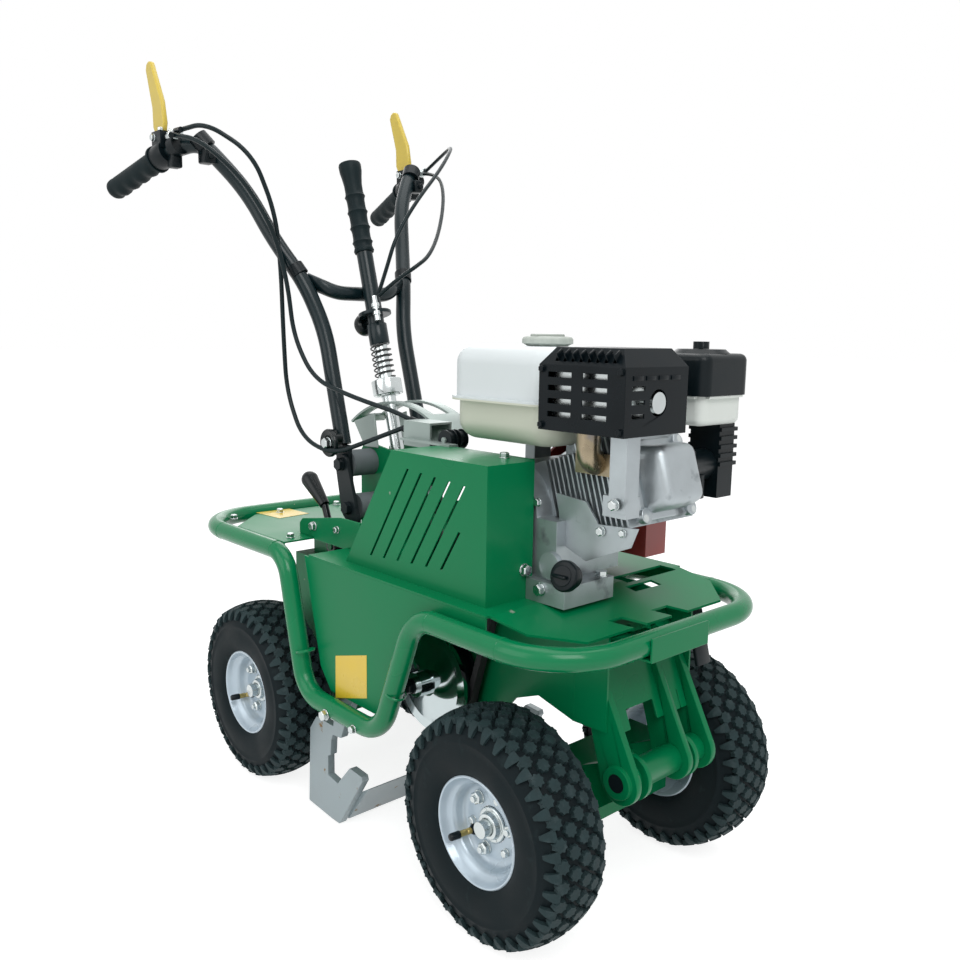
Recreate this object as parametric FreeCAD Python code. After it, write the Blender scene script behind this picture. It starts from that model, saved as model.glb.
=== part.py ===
import FreeCAD, Part
import math
import os

os.makedirs("parts", exist_ok=True)
V = FreeCAD.Vector

# Axes: +X is the direction of travel, +Y the operator's left, +Z up.
# The origin is on the ground, under the middle of the overall box.

# Sheet, tube and clearances
tube_od = 28.0
tube_wall = 2.6
sheet = 3.0
shaft_clear = 0.05
seat_gap = 0.2
body_gap = 0.4
bolt_d = 10.0
wheel_bolt_d = 9.0
small_bolt_d = 6.0

# Main frame of bent tube
frame_half_width = 202.0
front_bumper_x = 485.0
rear_bumper_x = -380.0
front_corner_radius = 92.0
rear_corner_radius = 105.0
rear_rail_z = 397.0
front_rail_z = 375.0
dip_z = 194.0
dip_rear_top_x = -76.0
dip_rear_foot_x = -24.0
dip_front_foot_x = 163.0
dip_front_top_x = 236.0
dip_rear_top_radius = 45.0
dip_rear_foot_radius = 50.0
dip_front_foot_radius = 60.0
dip_front_top_radius = 55.0

# Decks and covers
deck_top_z = 400.0
deck_rear_x = -35.0
deck_crease_x = 350.0
deck_front_x = 457.0
deck_front_top_z = 385.0
deck_front_half_width = 130.0
deck_shoulder_x = 408.0
deck_edge_gap = 6.0
rear_deck_front_x = -130.0
rear_deck_gap = 14.0
wall_top_z = 444.0
wall_y = -118.0
wall_rear_x = -170.0

# Wheels
tyre_od = 285.0
tyre_width = 90.0
tyre_wall = 9.0
rim_flange_d = 134.0
rim_width = 78.0
rim_well_d = 92.0
rim_sheet = 3.0
rim_disc_offset = 6.0
hub_od = 44.0
hub_length = 62.0
axle_d = 20.0
wheel_bolt_circle_d = 66.0
wheel_half_track = 170.7
front_axle_x = 360.3
rear_axle_x = -200.3
axle_z = tyre_od / 2

# Front pivot and its carrier
pivot_x = 467.0
pivot_z = 204.0
pivot_pin_d = 22.0
pivot_bush_od = 36.0
pivot_flange_d = 56.0
lug_inner_y = 70.0
lug_thick = 9.0
lug_boss_r = 28.0
lug_root_x = 374.0
lug_root_width = 30.0
lug_waist_z = 320.0
lug_waist_x = 402.0
lug_waist_width = 36.0
mid_lug_y = 22.0
bumper_plate_y0 = -72.0
bumper_plate_y1 = 38.0
carrier_plate_y = 52.0
beam_half_length = 118.0
beam_depth = 66.0
beam_height = 78.0

# Belly housing under the deck
belly_half_width = 86.0
belly_rear_x = 104.0
belly_front_x = 429.0
belly_front_slope = 0.41
belly_bend_x = 400.0
belly_bottom_z = 252.0

# Belt drive
crank_x = 266.0
crank_height = 100.0
drive_pulley_d = 76.0
drive_shaft_d = 22.0
driven_x = 163.5
driven_z = 249.0
driven_pulley_d = 122.0
belt_width = 13.0
belt_height = 9.0
belt_y = -100.0
belt_slot = 25.0
disc_d = 145.0
disc_y = -119.0
driven_end_y = -151.0
idler_d = 46.0
idler_arm_length = 84.0
idler_rise = 34.0
idler_gap = 14.5
idler_stud_r = 5.0

# Belt guard
guard_front_x = 326.0
guard_top_rear_x = 139.0
guard_foot_rear_x = 30.0
guard_outer_y = -166.0
guard_inner_y = -88.0
guard_over = 33.0
guard_top_z = deck_top_z + crank_height + drive_pulley_d / 2 + guard_over
guard_sheet = 2.0
guard_slots = 6
guard_slot_width = 4.5

# Engine
engine_y = 0.0
engine_foot_front_x = 391.0
engine_foot_length = 196.0
engine_foot_y0 = -99.0
engine_foot_y1 = -9.0
engine_foot_height = 27.0
crankcase_r = 62.0
crankcase_y0 = -84.0
crankcase_y1 = 58.0
cylinder_tilt = 17.5
barrel_start = 66.0
head_start = 120.0
cover_start = 187.0
cover_height = 40.0
barrel_half = 50.0
head_half_up = 60.0
head_half_side = 62.0
fin_pitch = 8.0
fin_thick = 2.6
muffler_x0 = 360.0
muffler_x1 = 487.0
muffler_y0 = -119.0
muffler_y1 = -8.0
muffler_z0 = 615.0
muffler_z1 = 690.0
muffler_top_z = 710.0
muffler_chamfer = 14.0
can_gap = 4.0
tank_x = 258.0
tank_half_x = 95.0
tank_half_y = 93.0
tank_low_depth = 54.0
tank_seam_z = 640.0
tank_bottom_z = tank_seam_z - tank_low_depth
tank_top_z = 708.0
tank_wall = 2.5
tank_lip = 6.0
cap_d = 62.0
cap_height = 16.0
cleaner_x0 = 382.0
cleaner_x1 = 466.0
cleaner_y0 = 55.0
cleaner_y1 = 155.0
cleaner_z0 = 652.0
cleaner_z1 = 703.0
cleaner_body_z0 = 615.0
duct_y0 = 117.0
fan_cover_r = 84.0
fan_cover_y0 = 62.0
fan_cover_y1 = 128.0

# Blade
blade_side_gap = 0.5
blade_arm_y = frame_half_width - tube_od / 2 - sheet - blade_side_gap
blade_arm_thick = 12.0
blade_pivot_x = 51.0
blade_pivot_z = 226.0
blade_thick = 8.0
blade_length_x = 84.0
blade_low_z = 6.0

# Gearbox and rear axle
gearbox_x0 = -246.0
gearbox_x1 = -118.0
gearbox_half_width = 84.0
gearbox_wall = 5.0
gearbox_top_z = 350.0
gearbox_bottom_z = 96.0

# Handlebar and its rubber mounts
bar_d = 25.0
bar_wall = 2.0
bar_foot = (-106.0, 78.0, 548.0)
bar_knee = (-156.0, 77.0, 724.0)
bar_cross = (-182.0, 98.0, 800.0)
bar_rise = (-222.0, 126.0, 862.0)
bar_shoulder = (-262.0, 152.0, 942.0)
bar_top = (-304.0, 205.0, 1013.0)
bar_hand = (-345.0, 238.0, 1000.0)
bar_grip_end = (-497.0, 269.0, 953.0)
grip_d = 33.0
strap_thick = 7.0
strap_foot_z = 436.0
knob_depth = 13.0
mount_upper = (-99.0, 518.0)
mount_lower = (-80.0, 451.0)
bush_r = 21.0
tower_half_width = 30.0

# Depth lever, latch and quadrant
lever_pivot_x = -34.0
lever_pivot_z = 418.0
lever_lean = 16.0
lever_rod_d = 22.0
lever_tube_d = 26.0
quadrant_r = 196.0
quadrant_half_angle = 36.0
quadrant_width = 66.0
quadrant_sheet = 4.0
quadrant_slot = 31.0
latch_z0 = 212.0
spring_z0 = 240.0
spring_z1 = 296.0
spring_coils = 6
spring_wire_d = 2.6
spring_mean_d = 31.0
collar_z = 330.0
grip_z0 = 468.0
lever_top = 596.0

# Hand levers
hand_tip = (-399.0, 234.0, 1143.0)

grip_share = 0.2
housing_share = 0.1
hand_lever_thick = 6.0

# Cable bracket on the guard
roller_x = 134.0
roller_z = guard_top_z + 6
roller_y0 = -71.0
roller_y1 = -39.0
cable_box_reach = 88.0

# Shift lever
shift_pivot = (-160.0, -62.0, 372.0)
shift_knob = (-188.0, -62.0, 437.0)
shift_tip = (-233.0, -62.0, 474.0)

crank_z = deck_top_z + crank_height
tube_r = tube_od / 2
side_in_y = frame_half_width - tube_r
OUT = {}


def box(x0, x1, y0, y1, z0, z1):
    corner = V(min(x0, x1), min(y0, y1), min(z0, z1))
    return Part.makeBox(abs(x1 - x0), abs(y1 - y0), abs(z1 - z0), corner)


def rod(p, q, r):
    p = V(*p)
    q = V(*q)
    d = q.sub(p)
    return Part.makeCylinder(r, d.Length, p, d)


def cone(p, q, r0, r1):
    p = V(*p)
    q = V(*q)
    d = q.sub(p)
    return Part.makeCone(r0, r1, d.Length, p, d)


def drum(x, z, y0, y1, r):
    lo = min(y0, y1)
    return Part.makeCylinder(r, abs(y1 - y0), V(x, lo, z), V(0, 1, 0))


def ring(x, z, y0, y1, r, bore_r):
    return drum(x, z, y0, y1, r).cut(drum(x, z, min(y0, y1) - 1, max(y0, y1) + 1, bore_r))


def side_plate(points, y0, y1):
    lo = min(y0, y1)
    pts = [V(x, lo, z) for x, z in points]
    face = Part.Face(Part.makePolygon(pts + [pts[0]]))
    return face.extrude(V(0, abs(y1 - y0), 0))


def flat_plate(points, z0, z1):
    pts = [V(x, y, z0) for x, y in points]
    face = Part.Face(Part.makePolygon(pts + [pts[0]]))
    return face.extrude(V(0, 0, z1 - z0))


def link_plate(p, q, rp, rq, y0, y1):
    """Flat bar with two round ends, in a plane square to Y."""
    dx = q[0] - p[0]
    dz = q[1] - p[1]
    n = math.hypot(dx, dz)
    nx = -dz / n
    nz = dx / n
    body = [(p[0] + nx * rp, p[1] + nz * rp), (q[0] + nx * rq, q[1] + nz * rq),
            (q[0] - nx * rq, q[1] - nz * rq), (p[0] - nx * rp, p[1] - nz * rp)]
    out = side_plate(body, y0, y1)
    out = out.fuse(drum(p[0], p[1], y0, y1, rp))
    return out.fuse(drum(q[0], q[1], y0, y1, rq)).removeSplitter()


def round_path(points, radii):
    """Straight runs joined by tangent arcs, as a wire."""
    pts = [V(*p) for p in points]
    edges = []
    last = pts[0]
    for i in range(1, len(pts) - 1):
        a = pts[i - 1].sub(pts[i])
        b = pts[i + 1].sub(pts[i])
        a.normalize()
        b.normalize()
        turn = math.pi - a.getAngle(b)
        reach = radii[i - 1] * math.tan(turn / 2)
        start = pts[i].add(a * reach)
        end = pts[i].add(b * reach)
        way = a.add(b)
        way.normalize()
        hold = radii[i - 1] / math.cos(turn / 2) - radii[i - 1]
        mid = pts[i].add(way * hold)
        if last.sub(start).Length > 1e-6:
            edges.append(Part.LineSegment(last, start).toShape())
        edges.append(Part.Arc(start, mid, end).toShape())
        last = end
    edges.append(Part.LineSegment(last, pts[-1]).toShape())
    return Part.Wire(edges)


def soft_radii(points, share=0.45):
    """The largest tangent arcs that a free cable's runs leave room for."""
    pts = [V(*p) for p in points]
    out = []
    for i in range(1, len(pts) - 1):
        a = pts[i - 1].sub(pts[i])
        b = pts[i + 1].sub(pts[i])
        run = min(a.Length, b.Length)
        turn = math.pi - a.getAngle(b)
        out.append(share * run / math.tan(turn / 2))
    return out


def sweep(wire, r):
    start = wire.OrderedEdges[0]
    p = start.valueAt(start.FirstParameter)
    t = start.tangentAt(start.FirstParameter)
    circle = Part.Wire(Part.Circle(p, t, r).toShape())
    return wire.makePipeShell([circle], True, False)


def pipe(points, radii, r, wall=0.0):
    wire = round_path(points, radii)
    outer = sweep(wire, r)
    if wall:
        outer = outer.cut(sweep(wire, r - wall))
    return outer


def cable(points, d, name):
    radii = soft_radii(points)
    wire = round_path(points, radii)
    solid = sweep(wire, d / 2)
    want = wire.Length * math.pi * d * d / 4
    print(name, "least radius", round(min(radii), 1), "volume ratio", round(solid.Volume / want, 4))
    return solid


def spun(profile, x, z, s=1):
    """Turn a closed outline of (y, r) points about the line along Y at x, z."""
    pts = [V(x, s * y, z + r) for y, r in profile]
    face = Part.Face(Part.makePolygon(pts + [pts[0]]))
    return face.revolve(V(x, 0, z), V(0, 1, 0), 360)


def hexagon(p, axis, across, height):
    """Hexagonal prism from p along axis."""
    n = V(*axis)
    n.normalize()
    side = V(0, 0, 1) if abs(n.z) < 0.9 else V(1, 0, 0)
    u = n.cross(side)
    u.normalize()
    w = n.cross(u)
    r = across / math.sqrt(3)
    pts = []
    for i in range(6):
        t = math.radians(60 * i + 30)
        pts.append(V(*p).add(u * (r * math.cos(t))).add(w * (r * math.sin(t))))
    return Part.Face(Part.makePolygon(pts + [pts[0]])).extrude(n * height)


def bolt(p, axis, d, grip=0.0):
    """Hex head with a washer, seated at p and facing along axis."""
    n = V(*axis)
    n.normalize()
    washer = Part.makeCylinder(1.05 * d, 0.2 * d, V(*p), n)
    top = V(*p).add(n * (0.2 * d))
    head = hexagon((top.x, top.y, top.z), (n.x, n.y, n.z), 1.7 * d, 0.62 * d)
    out = washer.fuse(head)
    if grip:
        out = out.fuse(Part.makeCylinder(d / 2, grip, V(*p).sub(n * grip), n))
    return out.removeSplitter()


def put(name, *solids):
    flat = []
    for s in solids:
        flat += s.Solids
    OUT[name] = flat[0] if len(flat) == 1 else Part.makeCompound(flat)


def mirrored(shape):
    return shape.mirror(V(0, 0, 0), V(0, 1, 0))


# Main frame

def side_rail():
    x0 = rear_bumper_x + rear_corner_radius
    x1 = front_bumper_x - front_corner_radius
    y = -frame_half_width
    pts = [(x0, y, rear_rail_z), (dip_rear_top_x, y, rear_rail_z),
           (dip_rear_foot_x, y, dip_z), (dip_front_foot_x, y, dip_z),
           (dip_front_top_x, y, front_rail_z), (x1, y, front_rail_z)]
    radii = [dip_rear_top_radius, dip_rear_foot_radius, dip_front_foot_radius, dip_front_top_radius]
    return pipe(pts, radii, tube_r, tube_wall)


def bumper(x, z, radius, way):
    x0 = x - way * radius
    w = frame_half_width
    pts = [(x0, -w, z), (x, -w, z), (x, w, z), (x0, w, z)]
    return pipe(pts, [radius * 0.999, radius * 0.999], tube_r, tube_wall)


def frame():
    right = side_rail()
    loop = right.fuse(bumper(front_bumper_x, front_rail_z, front_corner_radius, 1))
    loop = loop.fuse(mirrored(right))
    loop = loop.fuse(bumper(rear_bumper_x, rear_rail_z, rear_corner_radius, -1))
    put("main_frame", loop.removeSplitter())


# Decks, side plates and walls

def deck():
    w = side_in_y
    e = w - deck_edge_gap
    low = deck_top_z - sheet
    flat = flat_plate([(deck_rear_x, -w), (deck_crease_x, -w), (deck_crease_x, w), (deck_rear_x, w)],
                      low, deck_top_z)
    reach = drive_pulley_d / 2 + driven_pulley_d / 2 + 2 * belt_height
    hole_x = belt_rear_x(deck_top_z) - 9
    belt_hole = box(hole_x, hole_x + reach + 24, belt_y - belt_slot / 2, belt_y + belt_slot / 2,
                    low - 1, deck_top_z + 1)
    flat = flat.cut(belt_hole)
    drop = deck_top_z - deck_front_top_z
    run = deck_front_x - deck_crease_x
    nose = side_plate([(deck_crease_x, deck_top_z), (deck_front_x, deck_front_top_z),
                       (deck_front_x, deck_front_top_z - sheet), (deck_crease_x, low)], -e, e)
    f = deck_front_half_width
    outline = [(deck_crease_x, -e), (deck_shoulder_x, -e + 4), (deck_front_x, -f)]
    for y0, y1, deep, skew in ((-49, -23, 28, -14), (25, 58, 24, -12)):
        back = deck_front_x - deep
        outline += [(deck_front_x, y0), (back, y0 + skew), (back, y1 + skew), (deck_front_x, y1)]
    outline += [(deck_front_x, f), (deck_shoulder_x, e - 4), (deck_crease_x, e)]
    nose = nose.common(flat_plate(outline, low - drop - run, deck_top_z + run))
    slots = [(deck_crease_x + 16, deck_crease_x + 34, 46, 100),
             (deck_crease_x - 20, deck_crease_x + 8, 60, 168)]
    whole = flat.fuse(nose).removeSplitter()
    for x0, x1, y0, y1 in slots:
        whole = whole.cut(box(x0, x1, y0, y1, low - drop - 2, deck_top_z + 2))
    return whole


def side_panel():
    """Sheet that fills the dip of the side tube, flush with its inner line."""
    low = dip_z
    top = deck_top_z - sheet - 0.01
    pts = [(deck_rear_x - 12, top), (dip_rear_foot_x + 18, low + 44), (dip_rear_foot_x + 44, low + 14),
           (dip_front_foot_x - 34, low + 14), (dip_front_foot_x + 6, low + 44),
           (dip_front_top_x - 26, front_rail_z - 44), (dip_front_top_x + 26, front_rail_z - 6),
           (deck_crease_x, front_rail_z + 4), (deck_crease_x, top)]
    return side_plate(pts, -side_in_y, -side_in_y + sheet)


def rear_deck():
    x0 = rear_bumper_x + tube_r + rear_deck_gap
    w = side_in_y - rear_deck_gap
    c = rear_corner_radius - 34
    low = deck_top_z - sheet
    pts = [(x0, -w + c), (x0 + c, -w), (rear_deck_front_x, -w), (rear_deck_front_x, w),
           (x0 + c, w), (x0, w - c)]
    top = flat_plate(pts, low, deck_top_z)
    gate = box(shift_pivot[0] - 48, shift_pivot[0] + 16, shift_pivot[1] - 9, shift_pivot[1] + 9,
               low - 1, deck_top_z + 1)
    top = top.cut(gate)
    ribs = [box(x0 + c, rear_deck_front_x, s * (w - sheet), s * w, low - 22, low) for s in (-1, 1)]
    for r in ribs:
        top = top.fuse(r)
    ear = [box(x0 - rear_deck_gap + 1.0, x0 + 4, s * 40 - 12, s * 40 + 12, low - 6, low) for s in (-1, 1)]
    for r in ear:
        top = top.fuse(r)
    return top.removeSplitter()


def recess_wall(s):
    """Upright sheet between the rear deck and the guard, carried by the decks."""
    y = -wall_y * s
    top = wall_top_z
    pts = [(wall_rear_x, deck_top_z), (wall_rear_x, top - 26), (wall_rear_x + 8, top - 18),
           (wall_rear_x + 118, top), (guard_foot_rear_x - 30, top), (guard_foot_rear_x - 30, deck_top_z)]
    wall = side_plate(pts, y, y + s * sheet)
    return wall


def decks():
    put("front_deck", deck().fuse(idler_bracket()).removeSplitter())
    panel = side_panel()
    put("side_panels", panel, mirrored(panel))
    put("rear_deck", rear_deck())
    half = -wall_y + sheet
    floor = box(rear_deck_front_x + 1, deck_rear_x - 1, -half, half, deck_top_z - sheet, deck_top_z)
    put("middle_deck", floor.fuse(recess_wall(-1)).fuse(recess_wall(1)).removeSplitter())


def belly_front_line(z):
    """Forward face of the sloping front sheet at height z, a little behind the lugs' front edge."""
    return belly_front_x + (lug_waist_z - z) * belly_front_slope


def belly():
    """Folded housing under the front deck that holds the driven shaft and the front lugs."""
    w = belly_half_width
    top = deck_top_z - sheet - 0.01
    nose = nose_under(belly_bend_x)
    x0 = belly_rear_x
    z0 = belly_bottom_z
    pts = [(x0, top), (x0, z0 + 34), (x0 + 60, z0 - 48), (x0 + 150, z0 - 48), (x0 + 196, z0 + 6),
           (x0 + 236, z0 + 22),
           (belly_bend_x, z0 + 8), (belly_bend_x, nose), (deck_crease_x, top)]
    out = None
    for s in (-1, 1):
        side = side_plate(pts, s * w, s * (w - sheet))
        side = side.cut(drum(driven_x, driven_z, s * (w + 1), s * (w - sheet - 1), 24))
        inner = lug_inner_y + lug_thick + seat_gap
        near = belly_front_line(z0 + 8) - 6
        cheek = flat_plate([(belly_bend_x - 2, s * w), (near, s * (inner + sheet)), (near, s * inner),
                            (belly_bend_x - 2, s * (w - sheet))], z0 + 8, nose - 8)
        side = side.fuse(cheek)
        seat = ring(driven_x, driven_z, s * (w - sheet), s * (w + 3), 30, drive_shaft_d / 2 + shaft_clear)
        side = side.fuse(seat)
        out = side if out is None else out.fuse(side)
    put("belly_housing", out.removeSplitter())


def nose_under(x):
    """Height of the sloping nose's underside at x."""
    drop = deck_top_z - deck_front_top_z
    return deck_top_z - sheet - 0.01 - drop * (x - deck_crease_x) / (deck_front_x - deck_crease_x)


def belly_front():
    """Sloping sheet between the lugs, with the openings that show between them."""
    hi = nose_under(lug_root_x + lug_root_width) - 1
    lo = belly_bottom_z + 4
    xa = belly_front_line(hi)
    xb = belly_front_line(lo)
    out = []
    spans = [(-lug_inner_y + seat_gap, mid_lug_y - seat_gap),
             (mid_lug_y + lug_thick + seat_gap, lug_inner_y - seat_gap)]
    for y0, y1 in spans:
        face = side_plate([(xa, hi), (xb, lo), (xb - sheet, lo), (xa - sheet, hi)], y0, y1)
        face = face.cut(box(xa - 40, xb + 40, y0 + 10, y1 - 18, hi - 46, hi - 22))
        face = face.cut(box(xa - 40, xb + 40, y0 + 26, y1 - 14, lo - 1, lo + 22))
        out.append(face)
    return out


def front_lugs():
    r = lug_boss_r
    top = deck_front_top_z - sheet - 6
    parts = []
    bore = pivot_pin_d / 2
    for y in (-lug_inner_y - lug_thick, mid_lug_y, lug_inner_y):
        pts = [(lug_root_x, top), (lug_root_x + lug_root_width, top),
               (lug_waist_x + lug_waist_width, lug_waist_z), (pivot_x + r * 0.86, pivot_z + r * 0.5),
               (pivot_x - r * 0.9, pivot_z - r * 0.42), (lug_waist_x, lug_waist_z)]
        arm = side_plate(pts, y, y + lug_thick)
        arm = arm.fuse(drum(pivot_x, pivot_z, y, y + lug_thick, r))
        if y != mid_lug_y:
            s = -1 if y < 0 else 1
            far = lug_inner_y + lug_thick
            arm = arm.fuse(ring(pivot_x, pivot_z, s * far, s * (far + 5), 20, bore))
        arm = arm.cut(drum(pivot_x, pivot_z, y - 9, y + lug_thick + 9, bore))
        parts.append(arm.removeSplitter())
    far = lug_inner_y + lug_thick + 5
    pin = drum(pivot_x, pivot_z, -far, far, bore - 0.02)
    x = front_bumper_x + tube_r
    low = front_rail_z - tube_r
    fold = box(x, x + sheet, bumper_plate_y0, bumper_plate_y1, low - sheet, low + 26)
    fold = fold.fuse(box(lug_waist_x + 18, x + sheet, bumper_plate_y0, bumper_plate_y1, low - sheet, low))
    for y in (-lug_inner_y - lug_thick, mid_lug_y):
        notch = box(lug_waist_x, x - tube_od, y - seat_gap, y + lug_thick + seat_gap, low - 9, low + 9)
        fold = fold.cut(notch)
    put("front_lugs", *(parts + [fold] + belly_front()))
    return pin


def front_carrier():
    bore = pivot_pin_d / 2 + shaft_clear
    gap = body_gap
    spans = [(-lug_inner_y + gap, mid_lug_y - gap), (mid_lug_y + lug_thick + gap, lug_inner_y - gap)]
    bushes = []
    for y0, y1 in spans:
        tube = drum(pivot_x, pivot_z, y0, y1, pivot_bush_od / 2)
        flange_y = y0 + 12 if y0 < 0 else y0 + 4
        tube = tube.fuse(drum(pivot_x, pivot_z, flange_y, flange_y + 7, pivot_flange_d / 2))
        bushes.append(tube)
    axle_r = axle_d / 2
    bx0 = front_axle_x - beam_depth / 2
    bx1 = front_axle_x + beam_depth / 2
    bz0 = axle_z - beam_height / 2
    bz1 = axle_z + beam_height / 2
    w = beam_half_length
    beam = box(bx0, bx1, -w, w, bz0, bz1)
    beam = beam.cut(box(bx0 + 4, bx1 - 4, -w - 1, w + 1, bz0 + 4, bz1 - 4))
    for s in (-1, 1):
        cap = box(bx0 + 4, bx1 - 4, s * w, s * (w - 6), bz0 + 4, bz1 - 4)
        beam = beam.fuse(cap)
    for y in (-carrier_plate_y, carrier_plate_y - 10):
        neck = side_plate([(bx1 - 6, bz1 + 6), (pivot_x - 12, pivot_z + 16), (pivot_x + 6, pivot_z - 17),
                           (bx1 - 6, bz0 + 14)], y, y + 10)
        beam = beam.fuse(neck)
    for b in bushes:
        beam = beam.fuse(b)
    beam = beam.cut(drum(pivot_x, pivot_z, -lug_inner_y, lug_inner_y, bore))
    beam = beam.cut(drum(front_axle_x, axle_z, -w - 1, w + 1, axle_r))
    put("front_carrier", beam.removeSplitter())
    end = wheel_half_track + hub_length / 2
    put("front_axle", drum(front_axle_x, axle_z, -end, end, axle_r - 0.02))


# Wheels

def tyre_outline():
    h = tyre_width / 2
    b = rim_width / 2 - rim_sheet - seat_gap
    r = tyre_od / 2
    seat = rim_well_d / 2 + 8 + seat_gap
    t = tyre_wall
    outer = [(-b, seat), (-b, seat + 14), (-h + 3, seat + 26), (-h, seat + 42), (-h + 1, r - 24),
             (-h + 9, r - 8), (-h + 22, r - 1.6), (0, r)]
    inner = [(0, r - t), (-h + 26, r - t - 1), (-h + t + 3, r - t - 10), (-h + t, seat + 40),
             (-b + t, seat + 18), (-b + t + 4, seat)]
    right = [(-y, q) for y, q in reversed(outer[:-1])]
    low = [(-y, q) for y, q in reversed(inner[1:])]
    return outer + right + list(reversed(low)) + inner


def rim_outline():
    h = rim_width / 2
    f = rim_flange_d / 2
    s = rim_well_d / 2 + 8
    w = rim_well_d / 2
    t = rim_sheet
    top = [(-h, f), (-h + t, f), (-h + t, s), (-h + 16, s), (-h + 22, w), (h - 22, w), (h - 16, s),
           (h - t, s), (h - t, f), (h, f)]
    low = [(h, s - t), (h - 15, s - t), (h - 20, w - t), (-h + 20, w - t), (-h + 15, s - t), (-h, s - t)]
    return top + low


def wheel_bolt_spots(x, z):
    r = wheel_bolt_circle_d / 2
    for i in range(6):
        t = math.radians(13 + 60 * i)
        yield i, x + r * math.cos(t), z + r * math.sin(t)


def wheel(x, s, bore_r):
    y = s * wheel_half_track
    z = axle_z
    tyre = spun([(s * y0, r) for y0, r in tyre_outline()], x, z).translated(V(0, y, 0))
    rim = spun([(s * y0, r) for y0, r in rim_outline()], x, z).translated(V(0, y, 0))
    out = s * rim_disc_offset
    web = ring(x, z, y + out, y + out + s * rim_sheet, rim_well_d / 2 - rim_sheet / 2, hub_od / 2 - 1)
    hub = drum(x, z, y - s * hub_length / 2, y + s * hub_length / 2, hub_od / 2)
    rim = rim.fuse(web).fuse(hub).cut(drum(x, z, y - 60, y + 60, bore_r)).removeSplitter()
    face = y + out + s * rim_sheet
    bits = []
    for i, bx, bz in wheel_bolt_spots(x, z):
        d = wheel_bolt_d if i % 2 == 0 else small_bolt_d
        bits.append(bolt((bx, face, bz), (0, s, 0), d))
    t = math.radians(215)
    vr = rim_well_d / 2 - rim_sheet - 7
    vx = x + vr * math.cos(t)
    vz = z + vr * math.sin(t)
    valve = rod((vx, face, vz), (vx, face + s * 30, vz), 3.9)
    valve = valve.fuse(rod((vx, face + s * 30, vz), (vx, face + s * 45, vz), 4.6))
    return tyre, [rim] + bits + [valve]


def wheels():
    for side, s in (("right", -1), ("left", 1)):
        tyre, rim = wheel(front_axle_x, s, axle_d / 2 + shaft_clear)
        put("front_tyre_" + side, tyre)
        put("front_rim_" + side, *rim)
    right_tyre, right_rim = wheel(rear_axle_x, -1, axle_d / 2)
    left_tyre, left_rim = wheel(rear_axle_x, 1, axle_d / 2)
    put("rear_tyres", right_tyre, left_tyre)
    put("rear_rims", *(right_rim + left_rim))


# Gearbox and rear axle

def gearbox():
    w = gearbox_half_width
    shell = box(gearbox_x0, gearbox_x1, -w, w, gearbox_bottom_z, gearbox_top_z)
    t = gearbox_wall
    hollow = box(gearbox_x0 + t, gearbox_x1 - t, -w + t, w - t, gearbox_bottom_z + t, gearbox_top_z - t)
    shell = shell.cut(hollow)
    r = axle_d / 2 + shaft_clear
    for s in (-1, 1):
        shell = shell.fuse(drum(rear_axle_x, axle_z, s * (w - 2), s * (w + 20), 30))
    shell = shell.cut(drum(rear_axle_x, axle_z, -w - 30, w + 30, r))
    for s in (-1, 1):
        post = box(gearbox_x0 + 20, gearbox_x0 + 60, s * (w - 30), s * (w - 24),
                   gearbox_top_z, deck_top_z - sheet)
        shell = shell.fuse(post)
    put("gearbox", shell.removeSplitter())
    end = wheel_half_track + hub_length / 2
    put("rear_axle", drum(rear_axle_x, axle_z, -end, end, axle_d / 2 - 0.02))


# Belt drive

def belt_solid():
    """Flat-sided loop that wraps the two pulleys at their pitch lines."""
    r0 = drive_pulley_d / 2 + body_gap
    r1 = driven_pulley_d / 2 + body_gap
    y0 = belt_y - belt_width / 2
    y1 = belt_y + belt_width / 2
    p = (crank_x, crank_z)
    q = (driven_x, driven_z)
    outer = tangent_loop(p, q, r0 + belt_height, r1 + belt_height, y0, y1)
    inner = tangent_loop(p, q, r0, r1, y0 - 1, y1 + 1)
    return outer.cut(inner)


def tangent_loop(p, q, rp, rq, y0, y1):
    dx = q[0] - p[0]
    dz = q[1] - p[1]
    n = math.hypot(dx, dz)
    base = math.atan2(dz, dx)
    lean = math.acos((rp - rq) / n)
    pts = []
    for sign in (1, -1):
        a = base + sign * lean
        pts.append(((p[0] + rp * math.cos(a), p[1] + rp * math.sin(a)),
                    (q[0] + rq * math.cos(a), q[1] + rq * math.sin(a))))
    body = side_plate([pts[0][0], pts[0][1], pts[1][1], pts[1][0]], y0, y1)
    return body.fuse(drum(p[0], p[1], y0, y1, rp)).fuse(drum(q[0], q[1], y0, y1, rq)).removeSplitter()


def pulley(x, z, d, bore_r):
    w = belt_width / 2 + body_gap
    core = drum(x, z, belt_y - w, belt_y + w, d / 2)
    for s in (-1, 1):
        core = core.fuse(drum(x, z, belt_y + s * w, belt_y + s * (w + 3), d / 2 + belt_height))
    return core.cut(drum(x, z, belt_y - 30, belt_y + 30, bore_r)).removeSplitter()


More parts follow.
